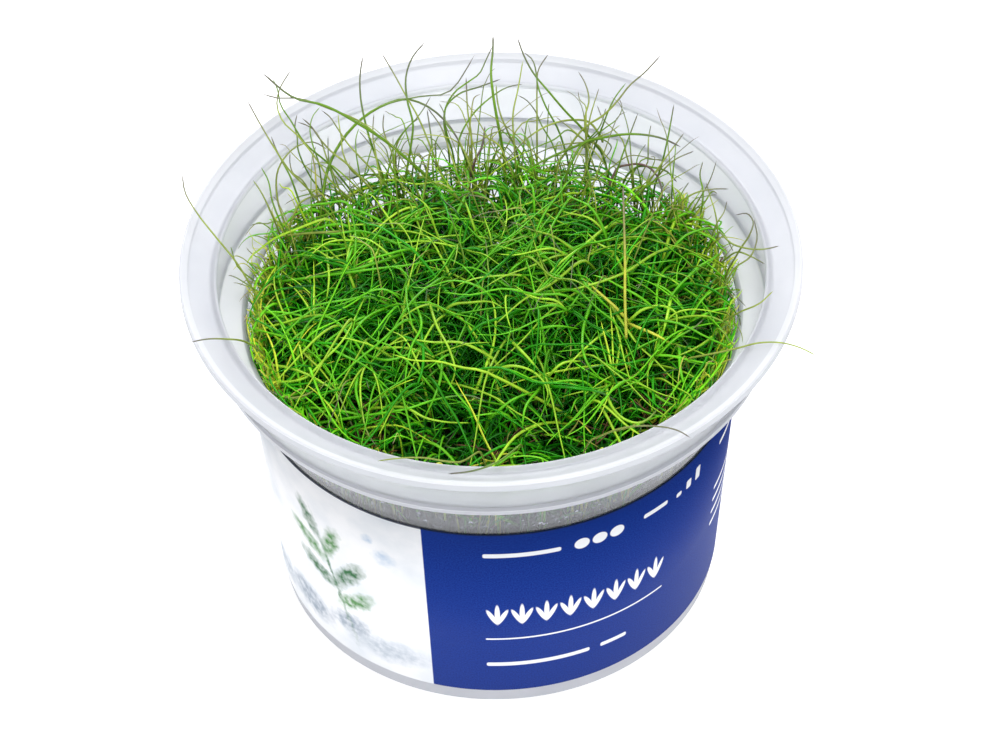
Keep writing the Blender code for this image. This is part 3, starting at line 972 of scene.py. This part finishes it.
def at_back(chance, count):
    """Places in the back half: the distance is 35 mm times the cube root of a random share."""
    distance = 35.0 * MM * chance.random(count) ** (1 / 3)
    turn = math.pi / 2 + chance.normal(0, 0.8, count)
    return distance * np.cos(turn), distance * np.sin(turn)


def in_stars(chance, count, stems=8):
    """Every eight stems share one place, so that they grow from one point as a star."""
    x, y = over_disc(chance, -(-count // stems))
    return np.repeat(x, stems)[:count], np.repeat(y, stems)[:count]


# Yellower and lighter near the wall; the lightness is painted light that comes through the plastic.
WALL_LIGHT_AND_YELLOWING = np.array([1.2, 0.8, 0.4])


def crop(name, seed, count, place, depth, lean, droop, curl, outward, length, ceiling, thick, mix,
         dry=0.06, steps=14, spread=1.8, painted_root_shade=0.3, taper=0.3):
    """One joined mesh of stems. depth is how far below the mat's surface they are rooted. lean and
    droop are (low, high) ranges in degrees, and depth, length, ceiling and thick in millimetres. curl
    is how much the heading wanders, in radians, and outward how strongly it points away from the axis.
    spread is how many millimetres they go into the collar. Near the wall stems are yellower and lighter,
    the lightness painted light from the plastic beside them: the change grows with the fourth power of
    the distance."""
    chance = np.random.default_rng(seed)
    x, y = place(chance, count)
    roots = np.stack([x, y, mat_height(x, y) - chance.uniform(*depth, count) * MM], axis=-1)
    away = np.maximum(np.hypot(x, y), MM)
    pull = outward * (away / inner_radius(SWARD_EDGE_HEIGHT)) ** 2
    free = chance.uniform(-math.pi, math.pi, count)
    heading = np.arctan2(np.sin(free) + pull * y / away, np.cos(free) + pull * x / away)
    lines = arching_lines(
        chance, np.radians(chance.uniform(*lean, count)), np.radians(chance.uniform(*droop, count)),
        heading, chance.normal(0, curl, count), steps,
    )
    lines = roots[:, None] + lines * chance.uniform(*length, count)[:, None, None] * MM
    lines = kept_inside(
        lines, chance.uniform(0.3, 1.1, (count, 1)) * MM, spread * MM,
        chance.uniform(*ceiling, (count, 1)) * MM,
    )
    # Painted shade: each stem is painted darker towards its root.
    colour = stem_colours(chance, count, steps + 1, mix, dry, painted_root_shade)
    # Painted light near the wall, with a yellower tint.
    edge = (away / inner_radius(SWARD_EDGE_HEIGHT))[:, None, None] ** 4
    colour = np.minimum(colour * (1 + edge * WALL_LIGHT_AND_YELLOWING), 0.9)
    piece = tubes(name, lines, chance.uniform(*thick, count) * MM, taper, colour, tissue)
    finish_piece(piece, "spikerush_green", "sward")
    return piece


# Painted shade and light: the undergrowth gets deeper greens and the top brighter ones, besides the stems' own greens.
UNDER_PAINTED_SHADE_MIX = {"deep": 6, "mid": 3, "brown": 0.5}
MIDDLE_MIX = {"deep": 2.4, "mid": 4.2, "bright": 1.6, "olive": 0.2}
TOP_PAINTED_LIGHT_MIX = {"mid": 2.0, "bright": 4.5, "lime": 2.5}
WALL_MIX = {"olive": 3, "lime": 2, "moss": 2, "mid": 1.5, "straw": 0.2, "bright": 1.5, "brown": 0.4}
BACK_MIX = {"moss": 4, "olive": 3, "bright": 1, "lime": 1}
FREE_MIX = {"olive": 1, "moss": 1}
ROOT_MIX = {"brown": 5, "straw": 1, "olive": 1}

for index in range(2):
    crop(f"undergrowth_{index + 1}", 11 + index, 1900, thinner_behind, (8, 14), (0, 40), (5, 80), 0.4,
         0.5, (7, 16), (-6.0, -2.0), (0.2, 0.3), UNDER_PAINTED_SHADE_MIX, steps=9)
for index in range(2):
    crop(f"middle_{index + 1}", 21 + index, 930, thinner_behind, (7, 13), (5, 52), (5, 75), 0.35, 0.8,
         (10, 22), (-2.0, 3.5), (0.18, 0.28), MIDDLE_MIX, steps=12)
crop("top_arcs", 31, 380, thinner_behind, (5, 11), (15, 60), (25, 115), 0.6, 0.7,
     (17, 38), (1.0, 5.5), (0.22, 0.32), TOP_PAINTED_LIGHT_MIX, steps=20, painted_root_shade=0.45)
crop("plantlets", 41, 340, in_stars, (-1.5, 0.5), (25, 85), (10, 80), 0.5, 0.0,
     (7, 19), (1.5, 4.5), (0.18, 0.27), TOP_PAINTED_LIGHT_MIX, steps=12, painted_root_shade=0.7)
crop("wall_stems", 51, 520, at_wall, (4, 13), (0, 12), (0, 30), 0.4, 1.2,
     (10, 20), (1.5, 6.0), (0.15, 0.24), WALL_MIX, 0.2, steps=10, spread=2.4, painted_root_shade=1.0)
crop("tangles", 66, 170, at_sides, (2, 8), (10, 60), (30, 120), 0.9, 0.8,
     (9, 19), (2.0, 8.0), (0.11, 0.17), BACK_MIX, 0.6, steps=14, spread=3.6, painted_root_shade=0.8)
crop("old_roots", 56, 130, in_hollows, (-1, 5), (10, 80), (0, 60), 0.5, 0.0,
     (3, 8), (-2.5, 0.5), (0.12, 0.22), ROOT_MIX, 0.0, steps=6, painted_root_shade=0.9)
crop("back_stems", 61, 190, at_back, (5, 13), (8, 45), (0, 40), 0.25, 2.0,
     (16, 32), (2.0, 11.0), (0.13, 0.21), BACK_MIX, 0.5, steps=16, spread=3.4, painted_root_shade=0.7)
crop("free_stems", 71, 45, at_back, (3, 9), (5, 45), (0, 40), 0.3, 1.2,
     (20, 36), (10.0, 22.0), (0.13, 0.18), FREE_MIX, 0.8, steps=18, spread=3.8, painted_root_shade=0.8)

# %% [markdown]
# ## The thatch
# Under the stems lies a dark sheet for the lower stems and roots; its almost black-green is painted
# shade, the darkness deep in the sward. It is a dome about a centimetre below the surface, closed at
# the wall and at the gel, so that no light shows through.

# %% Thatch
THATCH_DEPTH = 9.5 * MM
THATCH_RADIUS = 37.0 * MM
BACK_FALL = 15.0 * MM


def painted_shade_thatch_tissue():
    """Sheet for the lower stems and roots: matt, mottled brown and green at about 2 mm; its dark tone is painted
    shade.
    """
    material, tree, shader, _, mottle = mottled(
        "matted_thatch_painted_shade", ("#10210A", "#3B3A1C"), 500.0, 5.0, (0.35, 0.65), roughness=0.85
    )
    bump = add_node(tree, "Bump", {"Height": mottle, "Strength": 0.9, "Distance": 0.5 * MM})
    tree.links.new(bump.outputs["Normal"], shader.inputs["Normal"])
    return material


def thatch(material, rings=30, spokes=128):
    """A dome at mat_height less the depth, and less again behind, where the plants are thin. Then a
    skirt goes down to the gel, closed below."""
    share = np.linspace(0, 1, rings)[:, None]
    angle = np.linspace(0, 2 * math.pi, spokes, endpoint=False)
    x = share * THATCH_RADIUS * np.cos(angle)
    y = share * THATCH_RADIUS * np.sin(angle)
    behind = np.clip((y - 12 * MM) / (22 * MM), 0, 1)
    dome = np.stack([x, y, mat_height(x, y) - THATCH_DEPTH - BACK_FALL * behind], axis=-1)
    foot_height = GEL_TOP + GEL_MENISCUS + 0.2 * MM
    foot_radius = inner_radius(foot_height) - 2 * MM
    foot = np.stack([
        foot_radius * np.cos(angle), foot_radius * np.sin(angle), 0 * angle + foot_height,
    ], axis=-1)[None]
    middle = foot * np.array([0, 0, 1])
    points = np.concatenate([dome, foot, middle])
    piece = add_mesh("thatch", points, grid_quads(rings + 2, spokes, True), material)
    weld(piece)
    return piece


# A dark sheet of painted shade under the stems.
mat = thatch(painted_shade_thatch_tissue())
finish_piece(mat, "spikerush_green", "sward")

# %% [markdown]
# ## The stems that the eye counts
# The stems that lean over the rim, and the bright ones that lie on top, are what the eye counts
# first, so each one follows the photograph. Its points are pixels, read from root to tip. A smooth
# curve goes through them, and a ray through each of its pixels meets a height in one point of space.

# %% Curves and rays
PHOTO_WIDTH = 1000
PHOTO_HEIGHT = 750
PIXELS_PER_TURN = LENS / camera.data.sensor_width * PHOTO_WIDTH
TRACE_POINTS = 22
EYE = np.array(camera.location)
CAMERA_AXES = np.array(camera.rotation_quaternion.to_matrix()).T


def curve_through(knots):
    """A smooth curve through the knots: cubic Hermite pieces over the distance along the path, with
    the slope at each knot taken from its neighbours."""
    way = np.concatenate([[0], np.linalg.norm(np.diff(knots, axis=0), axis=1).cumsum()])
    slope = np.gradient(knots, way, axis=0)
    at = np.linspace(0, way[-1], TRACE_POINTS)
    piece = np.clip(np.searchsorted(way, at) - 1, 0, len(knots) - 2)
    span = (way[piece + 1] - way[piece])[:, None]
    s = (at - way[piece])[:, None] / span
    return (
        (2 * s ** 3 - 3 * s ** 2 + 1) * knots[piece] + (3 * s ** 2 - 2 * s ** 3) * knots[piece + 1]
        + span * ((s ** 3 - 2 * s ** 2 + s) * slope[piece] + (s ** 3 - s ** 2) * slope[piece + 1])
    )


def met_at(pixels, height):
    """The points where the pixels' rays meet the given heights: eye + ray (height - eye_z) / ray_z."""
    ray = np.stack([
        pixels[:, 0] - PHOTO_WIDTH / 2,
        PHOTO_HEIGHT / 2 - pixels[:, 1],
        np.full(len(pixels), -PIXELS_PER_TURN),
    ], axis=-1) @ CAMERA_AXES
    return EYE + ray * ((height - EYE[2]) / ray[:, 2])[:, None]


def with_root(line, back_off, sink):
    """The line with its root led down: behind its first point it goes back by u back_off along its
    first direction and sinks by u^2 sink, so that it bends without a corner. It stays in the cup."""
    u = np.linspace(1, 0.2, 5)[:, None]
    first = (line[1] - line[0]) / np.linalg.norm(line[1] - line[0])
    root = line[0] - first * back_off * u + np.array([0, 0, -sink]) * u ** 2
    away = np.hypot(root[:, 0], root[:, 1])
    root[:, :2] *= np.minimum(1, reach(root[:, 2], 0.4 * MM, 3.8 * MM) / away)[:, None]
    return np.concatenate([root, line])


# %% [markdown]
# ### Over the rim
# Each line is one stem: the solid that it stands for, 0 for one of the sward, the heights of its root
# and its tip from the lip in millimetres, its radius in hundredths of a millimetre, for some a
# colour, and its pixels.

# %% Stems over the rim
TRACED_STEMS = """
1 -9 7 17 258,298 236,262 215,236 197,213 185,192 182,173
2 -8 10 17 322,205 306,187 290,171 272,144 259,122 247,100
3 -6 10 28 429,178 407,159 384,140 359,124 320,104 297,99 261,72
4 -8 9 17 352,200 330,180 317,160 298,136 282,120 277,106 278,94 292,68
5 -9 8 20 386,185 377,160 368,133 364,117 361,101 360,76 363,55
6 -8 7 17 440,170 431,148 418,117 405,94 394,74 381,52
7 -8 9 20 405,180 411,145 413,125 407,99 406,76 412,58 426,41
8 -8 -2 27 322,200 327,172 339,145 357,123 384,105 407,99 423,104 453,131 461,146
9 -7 6 17 322,200 327,172 339,145 357,123 384,105 407,99 423,96 444,94 450,91 464,73 475,54
10 -6 9 26 503,150 499,129 496,113 493,94 491,73 493,47 493,34
11 -6 8 21 600,150 578,124 568,114 549,92 532,71 522,51 517,36
12 -9 5 17 537,170 537,142 537,114 537,89 538,71 549,53
13 -9 3 17 516,170 514,142 513,114 518,89 523,60
14 -8 3 17 586,170 586,139 585,117 589,100 585,83 578,71
15 -5 8 20 560,160 589,124 601,117 619,99 629,86 643,74 662,54
16 -4 -1 25 570,165 585,142 601,138 631,134 664,139 681,147
17 -3 -4 20 600,135 589,122 571,120 549,125 529,137 512,154 504,163
18 -9 4 17 655,185 662,163 668,137 674,104
19 -8 0 17 672,215 681,202 693,194 714,189 729,189
20 -8 1 17 720,232 731,243 745,248 765,249 779,246
21 -9 1 17 722,322 740,312 760,303 773,291
22 -8 1 17 690,358 721,352 738,348 758,343 783,343 801,348 817,356
23 -8 2 17 728,270 741,248 750,234 753,221 748,214 735,215
24 -2 0 20 520,445 501,460 491,465 472,471 448,474
25 -9 2 18 262,352 243,341 225,339 208,339 191,342
26 -3 3 25 straw 626,330 625,300 625,260 624,220 623,185
0 -9 8 17 352,192 330,165 304,142 291,121 280,103 278,91 272,77
0 -6 9 17 429,178 407,159 384,140 359,121 330,109 296,98 277,98 260,93
0 -10 2 17 292,246 279,219 272,200 268,180 261,167
0 -10 1 17 282,240 269,208 261,192 253,180
0 -8 6 17 452,150 446,130 445,110 455,92 468,82 479,74 486,60 493,45
0 -8 6 17 566,152 557,127 547,109 539,90 530,57 523,52
0 -9 1 17 458,165 460,137 468,121 490,98 508,87 523,84
0 -8 3 17 590,160 601,130 616,96 626,83
0 -9 -1 17 640,195 664,160 684,133
0 -9 1 17 610,195 619,165 629,137 638,113
0 -9 -1 17 650,185 676,159 694,151
0 -9 -2 17 700,220 703,191 700,174 703,161
0 -10 0 17 722,262 738,252 750,256 765,264
0 -9 2 17 722,290 736,267 750,257 757,238 754,219
0 -8 -2 17 472,160 471,133 468,113 466,77
0 -8 -2 17 447,140 444,122 446,107 459,94 479,87 501,79
0 -8 -3 17 515,147 507,130 501,116 497,98 496,84
0 -9 -3 17 461,190 455,167 450,152 441,127 427,107
0 -9 -3 17 434,185 433,170 432,145 427,109
0 -9 -4 17 285,225 277,196 278,170 296,147 313,142 328,150
0 -8 -4 17 396,165 396,148 409,126 419,118
0 -8 -4 17 475,180 469,163 459,141 446,120
0 -3 -8 14 586,142 556,146 527,158
0 -3 -8 14 586,142 576,160 570,178
0 -3 -8 14 586,142 592,160 598,177
0 -3 -8 14 586,142 600,158 612,176
0 -3 -6 14 586,142 604,140 611,146 604,160
0 -3 0 14 586,142 590,118 599,88
0 -3 -2 14 586,142 570,128 556,117
0 -3 -1 14 586,142 600,126 606,108
0 -4 0 17 593,439 623,428 652,426 679,431 691,438
0 -5 0 17 478,452 460,462 444,461 426,458 402,458 377,461
0 -9 -1 15 311,178 303,163 298,149 297,136 295,128 297,114
0 -8 -1 20 372,190 356,173 346,163 333,153 320,139 310,125 302,118
0 -9 -1 16 342,198 339,189 333,173 326,156 321,141 315,131 306,125 297,122
0 -8 0 17 385,186 373,171 359,156 348,144 338,129 329,116 321,110
0 -9 0 13 318,160 312,142 310,128 313,116 320,107
0 -8 -1 15 366,180 354,173 343,153 341,136 339,124 338,113
0 -9 -2 14 362,190 359,171 356,151 356,138 359,128
0 -9 -2 14 384,185 378,166 373,149 366,139 359,131
0 -9 0 15 384,200 381,184 378,168 375,149 373,138 373,126 374,113
0 -9 -1 16 397,188 394,169 392,153 386,139 383,126 384,113
0 -9 -2 14 402,190 394,173 389,161 386,149 379,141
0 -8 1 15 388,172 393,149 406,129 416,119 424,108 431,96
0 -9 -3 12 398,168 401,151 404,144 409,139
0 -9 -3 12 412,175 414,159 416,149 419,144
0 -9 -2 14 338,200 333,179 329,163 328,146 328,136
0 -9 -3 13 312,196 301,179 293,173 290,163 290,153
0 -9 0 17 302,210 296,192 290,176 283,163 276,149 271,136
0 -9 -3 15 straw 318,204 316,184 315,168 313,156 316,146
0 -8 0 14 466,160 456,136 446,123 444,113 439,103
0 -8 -4 22 plum 470,178 475,161 482,146 485,126
0 -8 -4 14 485,185 487,163 489,146 492,129
0 -8 -7 20 olive 290,226 295,212 298,205 306,199 315,196 326,196
0 -8 -1 15 560,165 552,143 542,126 534,109 525,99 517,95
0 -8 -4 13 520,185 512,169 503,158 494,144 491,128
0 -8 -4 13 536,178 533,164 531,151 526,137 521,127
0 -8 -4 14 470,165 472,144 480,141 491,134 500,131 511,126
0 -3 0 14 586,142 586,119 585,105 580,100 578,91
0 -8 -3 14 630,168 626,153 623,141 614,130 603,119 597,105
0 -3 -1 12 590,140 596,135 608,126 617,119 622,107 619,98
0 -3 -3 12 590,140 598,137 610,132 620,125
0 -8 -4 12 640,178 637,160 641,151 646,144
0 -8 -4 12 634,186 633,173 632,162 630,151
0 -8 -4 12 648,158 649,135 651,125
0 -8 -3 14 672,190 673,173 675,155 676,144
0 -7 -8 22 plum 612,178 619,167 628,165 639,164 650,168 658,178 662,191 662,201
0 -3 -7 15 590,142 596,144 608,158 621,167
0 -7 -8 20 630,172 640,166 650,167 666,171 677,182
0 -9 -4 14 670,215 678,201 683,191 689,182
0 -9 -2 14 718,238 717,223 714,208 710,196 706,182
0 -9 -3 13 712,236 717,223 724,212 727,201
0 -3 -5 14 586,142 567,130 555,139 539,146 524,153 507,160
0 -3 -8 22 moss 586,142 569,149 551,157 537,164 523,173 508,180 498,187
"""


def rows(table):
    """For each line of a table: its numbers, its colour mix and its pixels as an array."""
    for line in table.strip().splitlines():
        words = line.split()
        pixels = [[int(n) for n in word.split(",")] for word in words if "," in word]
        hues = {word: 1 for word in words if word.isalpha()}
        numbers = [int(word) for word in words if "," not in word and not word.isalpha()]
        yield numbers, hues, np.array(pixels, float)


FLANGE_TOP = ((BEAD_RADIUS, -BEAD_FALL), (FLANGE_FOOT_RADIUS, -FLANGE_FALL), (LIP_RADIUS, 0.0))
ARCH = 2.5
RIM_CLEARANCE = 0.45 * MM


def traced_line(low, high, pixels):
    """A path whose height goes from low to high in a shallow arch. Where that would pass through the
    flange, the height is raised, and the rise is spread over the neighbouring points."""
    path = curve_through(pixels)
    t = np.linspace(0, 1, TRACE_POINTS)
    height = HEIGHT + (low + (high - low) * t + ARCH * np.sin(math.pi * t)) * MM
    radii, tops = zip(*FLANGE_TOP)
    for _ in range(3):
        line = met_at(path, height)
        away = np.hypot(line[:, 0], line[:, 1])
        lack = HEIGHT + np.interp(away, radii, tops) + RIM_CLEARANCE - line[:, 2]
        lack = np.where(away > BEAD_RADIUS - 0.3 * MM, lack, 0).clip(0, 6 * MM)
        ahead = np.abs(np.arange(TRACE_POINTS)[:, None] - np.arange(TRACE_POINTS))
        height = height + (lack * np.exp(-(ahead / 2.5) ** 2)).max(axis=1)
    deep = low < -3
    return with_root(met_at(path, height), (4 if deep else 0.8) * MM, (10 if deep else 0.8) * MM)


def traced_stems():
    """The stems that stand for solids one by one, and the rest joined in one mesh."""
    chance = np.random.default_rng(71)
    joined, joined_colour, joined_width = [], [], []
    for (solid, low, high, thick), hues, pixels in rows(TRACED_STEMS):
        line = traced_line(low, high, pixels)
        colour = stem_colours(chance, 1, len(line), hues or {"olive": 1, "moss": 1}, 0.85, 0.7)
        width = np.array([thick * 0.01 * MM])
        if solid:
            piece = tubes(f"stem_over_rim_{solid:02d}", line[None], width, 0.55, colour, tissue, 6)
            finish_piece(piece, "spikerush_green", f"long_stem_{solid:02d}")
        else:
            joined.append(line)
            joined_colour.append(colour[0])
            joined_width.append(width[0])
    piece = tubes(
        "strays", np.array(joined), np.array(joined_width), 0.55, np.array(joined_colour), tissue, 6
    )
    finish_piece(piece, "spikerush_green", "sward")


traced_stems()

# %% [markdown]
# ### On top of the mat
# The height of each point is the mat's own height there plus a shallow arch. It depends on where the
# ray lands, so the two are worked out in turn a few times.

# %% Bright stems on top
TOP_STEMS = """
bright 261,284 323,276 402,266 459,263 475,279 490,304
mid 429,178 441,196 448,214 449,232
bright 298,368 301,336 318,316 336,321 353,348 361,365
bright 310,336 343,355 362,364 384,380
bright 360,366 356,389 363,419 364,431
lime 258,363 296,370 323,383 336,393 349,419 356,434
lime 263,381 285,382 305,378 323,361 343,340 356,316 368,290
olive 271,391 293,398 310,393 323,381
bright 319,423 363,416 406,409 442,398 472,396 490,403
lime 374,408 406,408 426,418 446,422 472,423
lime 427,295 437,326 450,351 455,371 447,393
bright 409,290 421,328 412,345 406,373 405,404
mid 421,328 423,365 412,399
bright 442,350 441,376 429,409 422,423
bright 359,352 384,360 412,353 432,340
bright 530,331 556,326 580,329
lime 546,379 563,363 584,361
lime 490,371 515,366 535,373 546,386 548,393 545,404
bright 540,388 526,406 522,431
lime 510,340 530,360 545,379
bright 490,418 514,399 540,390
mid 545,386 575,388 604,394 620,404
bright 593,298 583,331 583,351 589,366 606,383
lime 606,383 609,401 624,419 639,423 656,411 663,393
lime 629,321 642,310 666,307 674,311 674,340
straw 629,324 656,335 674,345
lime 672,293 668,312 662,338
lime 730,320 704,343 666,361
bright 679,348 681,373 689,396
mid 653,373 653,416
bright 490,186 520,189 545,181 560,178 606,179 626,180
lime 629,219 609,226 583,246 560,263 551,272 530,301
lime 686,243 656,253 626,272 583,287 535,297
bright 709,261 686,279 669,301 666,315
bright 576,266 583,281 599,299 616,315
bright 578,185 556,219 543,243 530,282
mid 520,310 500,318 478,326 462,344
lime 326,250 329,275 326,305
straw 628,321 620,312 596,290 580,276
bright 417,253 395,243 359,231 330,234 300,226
moss 260,186 280,189 316,186 356,176 389,175 409,180 429,191 444,206
deep 362,223 371,200 386,186 404,185 416,191 421,209 421,226
olive 291,218 300,198 320,193 336,200
olive 359,231 313,233 263,237 232,235
lime 478,240 472,221 461,190
bright 405,253 380,262 350,270 323,275
lime 355,290 347,262 359,231 372,250
bright 360,231 352,250 338,282
lime 499,166 516,166 528,171 539,178 548,184
"""


def on_mat(pixels):
    """The path's points at mat_height plus an arch from 1 mm below it to 3 mm above it."""
    path = curve_through(pixels)
    above = (-1.0 + 4.0 * np.sin(math.pi * np.linspace(0, 1, TRACE_POINTS)) ** 0.7) * MM
    height = np.full(TRACE_POINTS, HEIGHT - 7 * MM)
    for _ in range(6):
        line = met_at(path, height)
        height = (height + mat_height(line[:, 0], line[:, 1]) + above) / 2
    return with_root(met_at(path, height), 2 * MM, 3 * MM)


def top_stems():
    """All of them as one mesh, each in its own colour."""
    chance = np.random.default_rng(83)
    lines = np.array([on_mat(pixels) for _, _, pixels in rows(TOP_STEMS)])
    colour = np.concatenate([
        stem_colours(chance, 1, lines.shape[1], hues, 0.1, 0.75) for _, hues, _ in rows(TOP_STEMS)
    ])
    piece = tubes("top_stems", lines, chance.uniform(0.23, 0.31, len(lines)) * MM, 0.35, colour, tissue, 6)
    finish_piece(piece, "spikerush_green", "sward")


top_stems()

# %% [markdown]
# ## The studio
# The tub stands on a plain white floor that runs off in every direction and glows a little, like a
# light table. The sky is an even white, one soft light hangs above, one fills from the front, and one
# shines through the plastic from behind.

# %% Floor and lights
floor_material, _, floor_shader, _, _ = mottled(
    "white_paper_sweep", ("#E4E4E6", "#E6E6E7"), 30.0, roughness=0.9
)
floor_shader.inputs["Emission Color"].default_value = linear("#FFFFFF")
floor_shader.inputs["Emission Strength"].default_value = 0.6
FAR = 4.0
floor_corners = np.array([[-FAR, -FAR, 0], [FAR, -FAR, 0], [FAR, FAR, 0], [-FAR, FAR, 0]])
floor = add_mesh("floor", floor_corners - [0, 0, 0.02 * MM], np.array([[0, 1, 2, 3]]), floor_material)
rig.stage(floor)


def soft_light(name, at, aim, size, power):
    """A square area light at a place, turned to face its aim."""
    light = bpy.data.lights.new(name, "AREA")
    light.shape = "SQUARE"
    light.size = size
    light.energy = power
    lamp = bpy.data.objects.new(name, light)
    lamp.location = at
    lamp.rotation_mode = "QUATERNION"
    lamp.rotation_quaternion = (Vector(aim) - Vector(at)).to_track_quat("-Z", "Y")
    bpy.context.scene.collection.objects.link(lamp)
    return lamp


soft_light("key_above", (0.1, -0.2, 0.78), (0, 0, 0.04), 0.35, 3.3)
soft_light("fill_front", (-0.25, -0.75, 0.35), (0, 0, 0.04), 0.5, 1.3)
soft_light("glow_behind", (0.0, 0.8, 0.3), (0, 0, 0.04), 0.7, 5.2)
world = bpy.data.worlds.new("white_sky")
bpy.context.scene.world = world
world.use_nodes = True
world.node_tree.nodes["Background"].inputs["Color"].default_value = (1.0, 1.0, 1.0, 1.0)
world.node_tree.nodes["Background"].inputs["Strength"].default_value = 0.56
bpy.context.scene.view_settings.view_transform = "Standard"

# %% [markdown]
# ## The end
# The size of the finished object is set beside the size of the solids.

# %% Finish
with open("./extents.json", "w") as size_file:
    json.dump({"cad": cad_box, "visual": [list(corner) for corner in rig.bounds()]}, size_file)
print(json.load(open("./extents.json")))
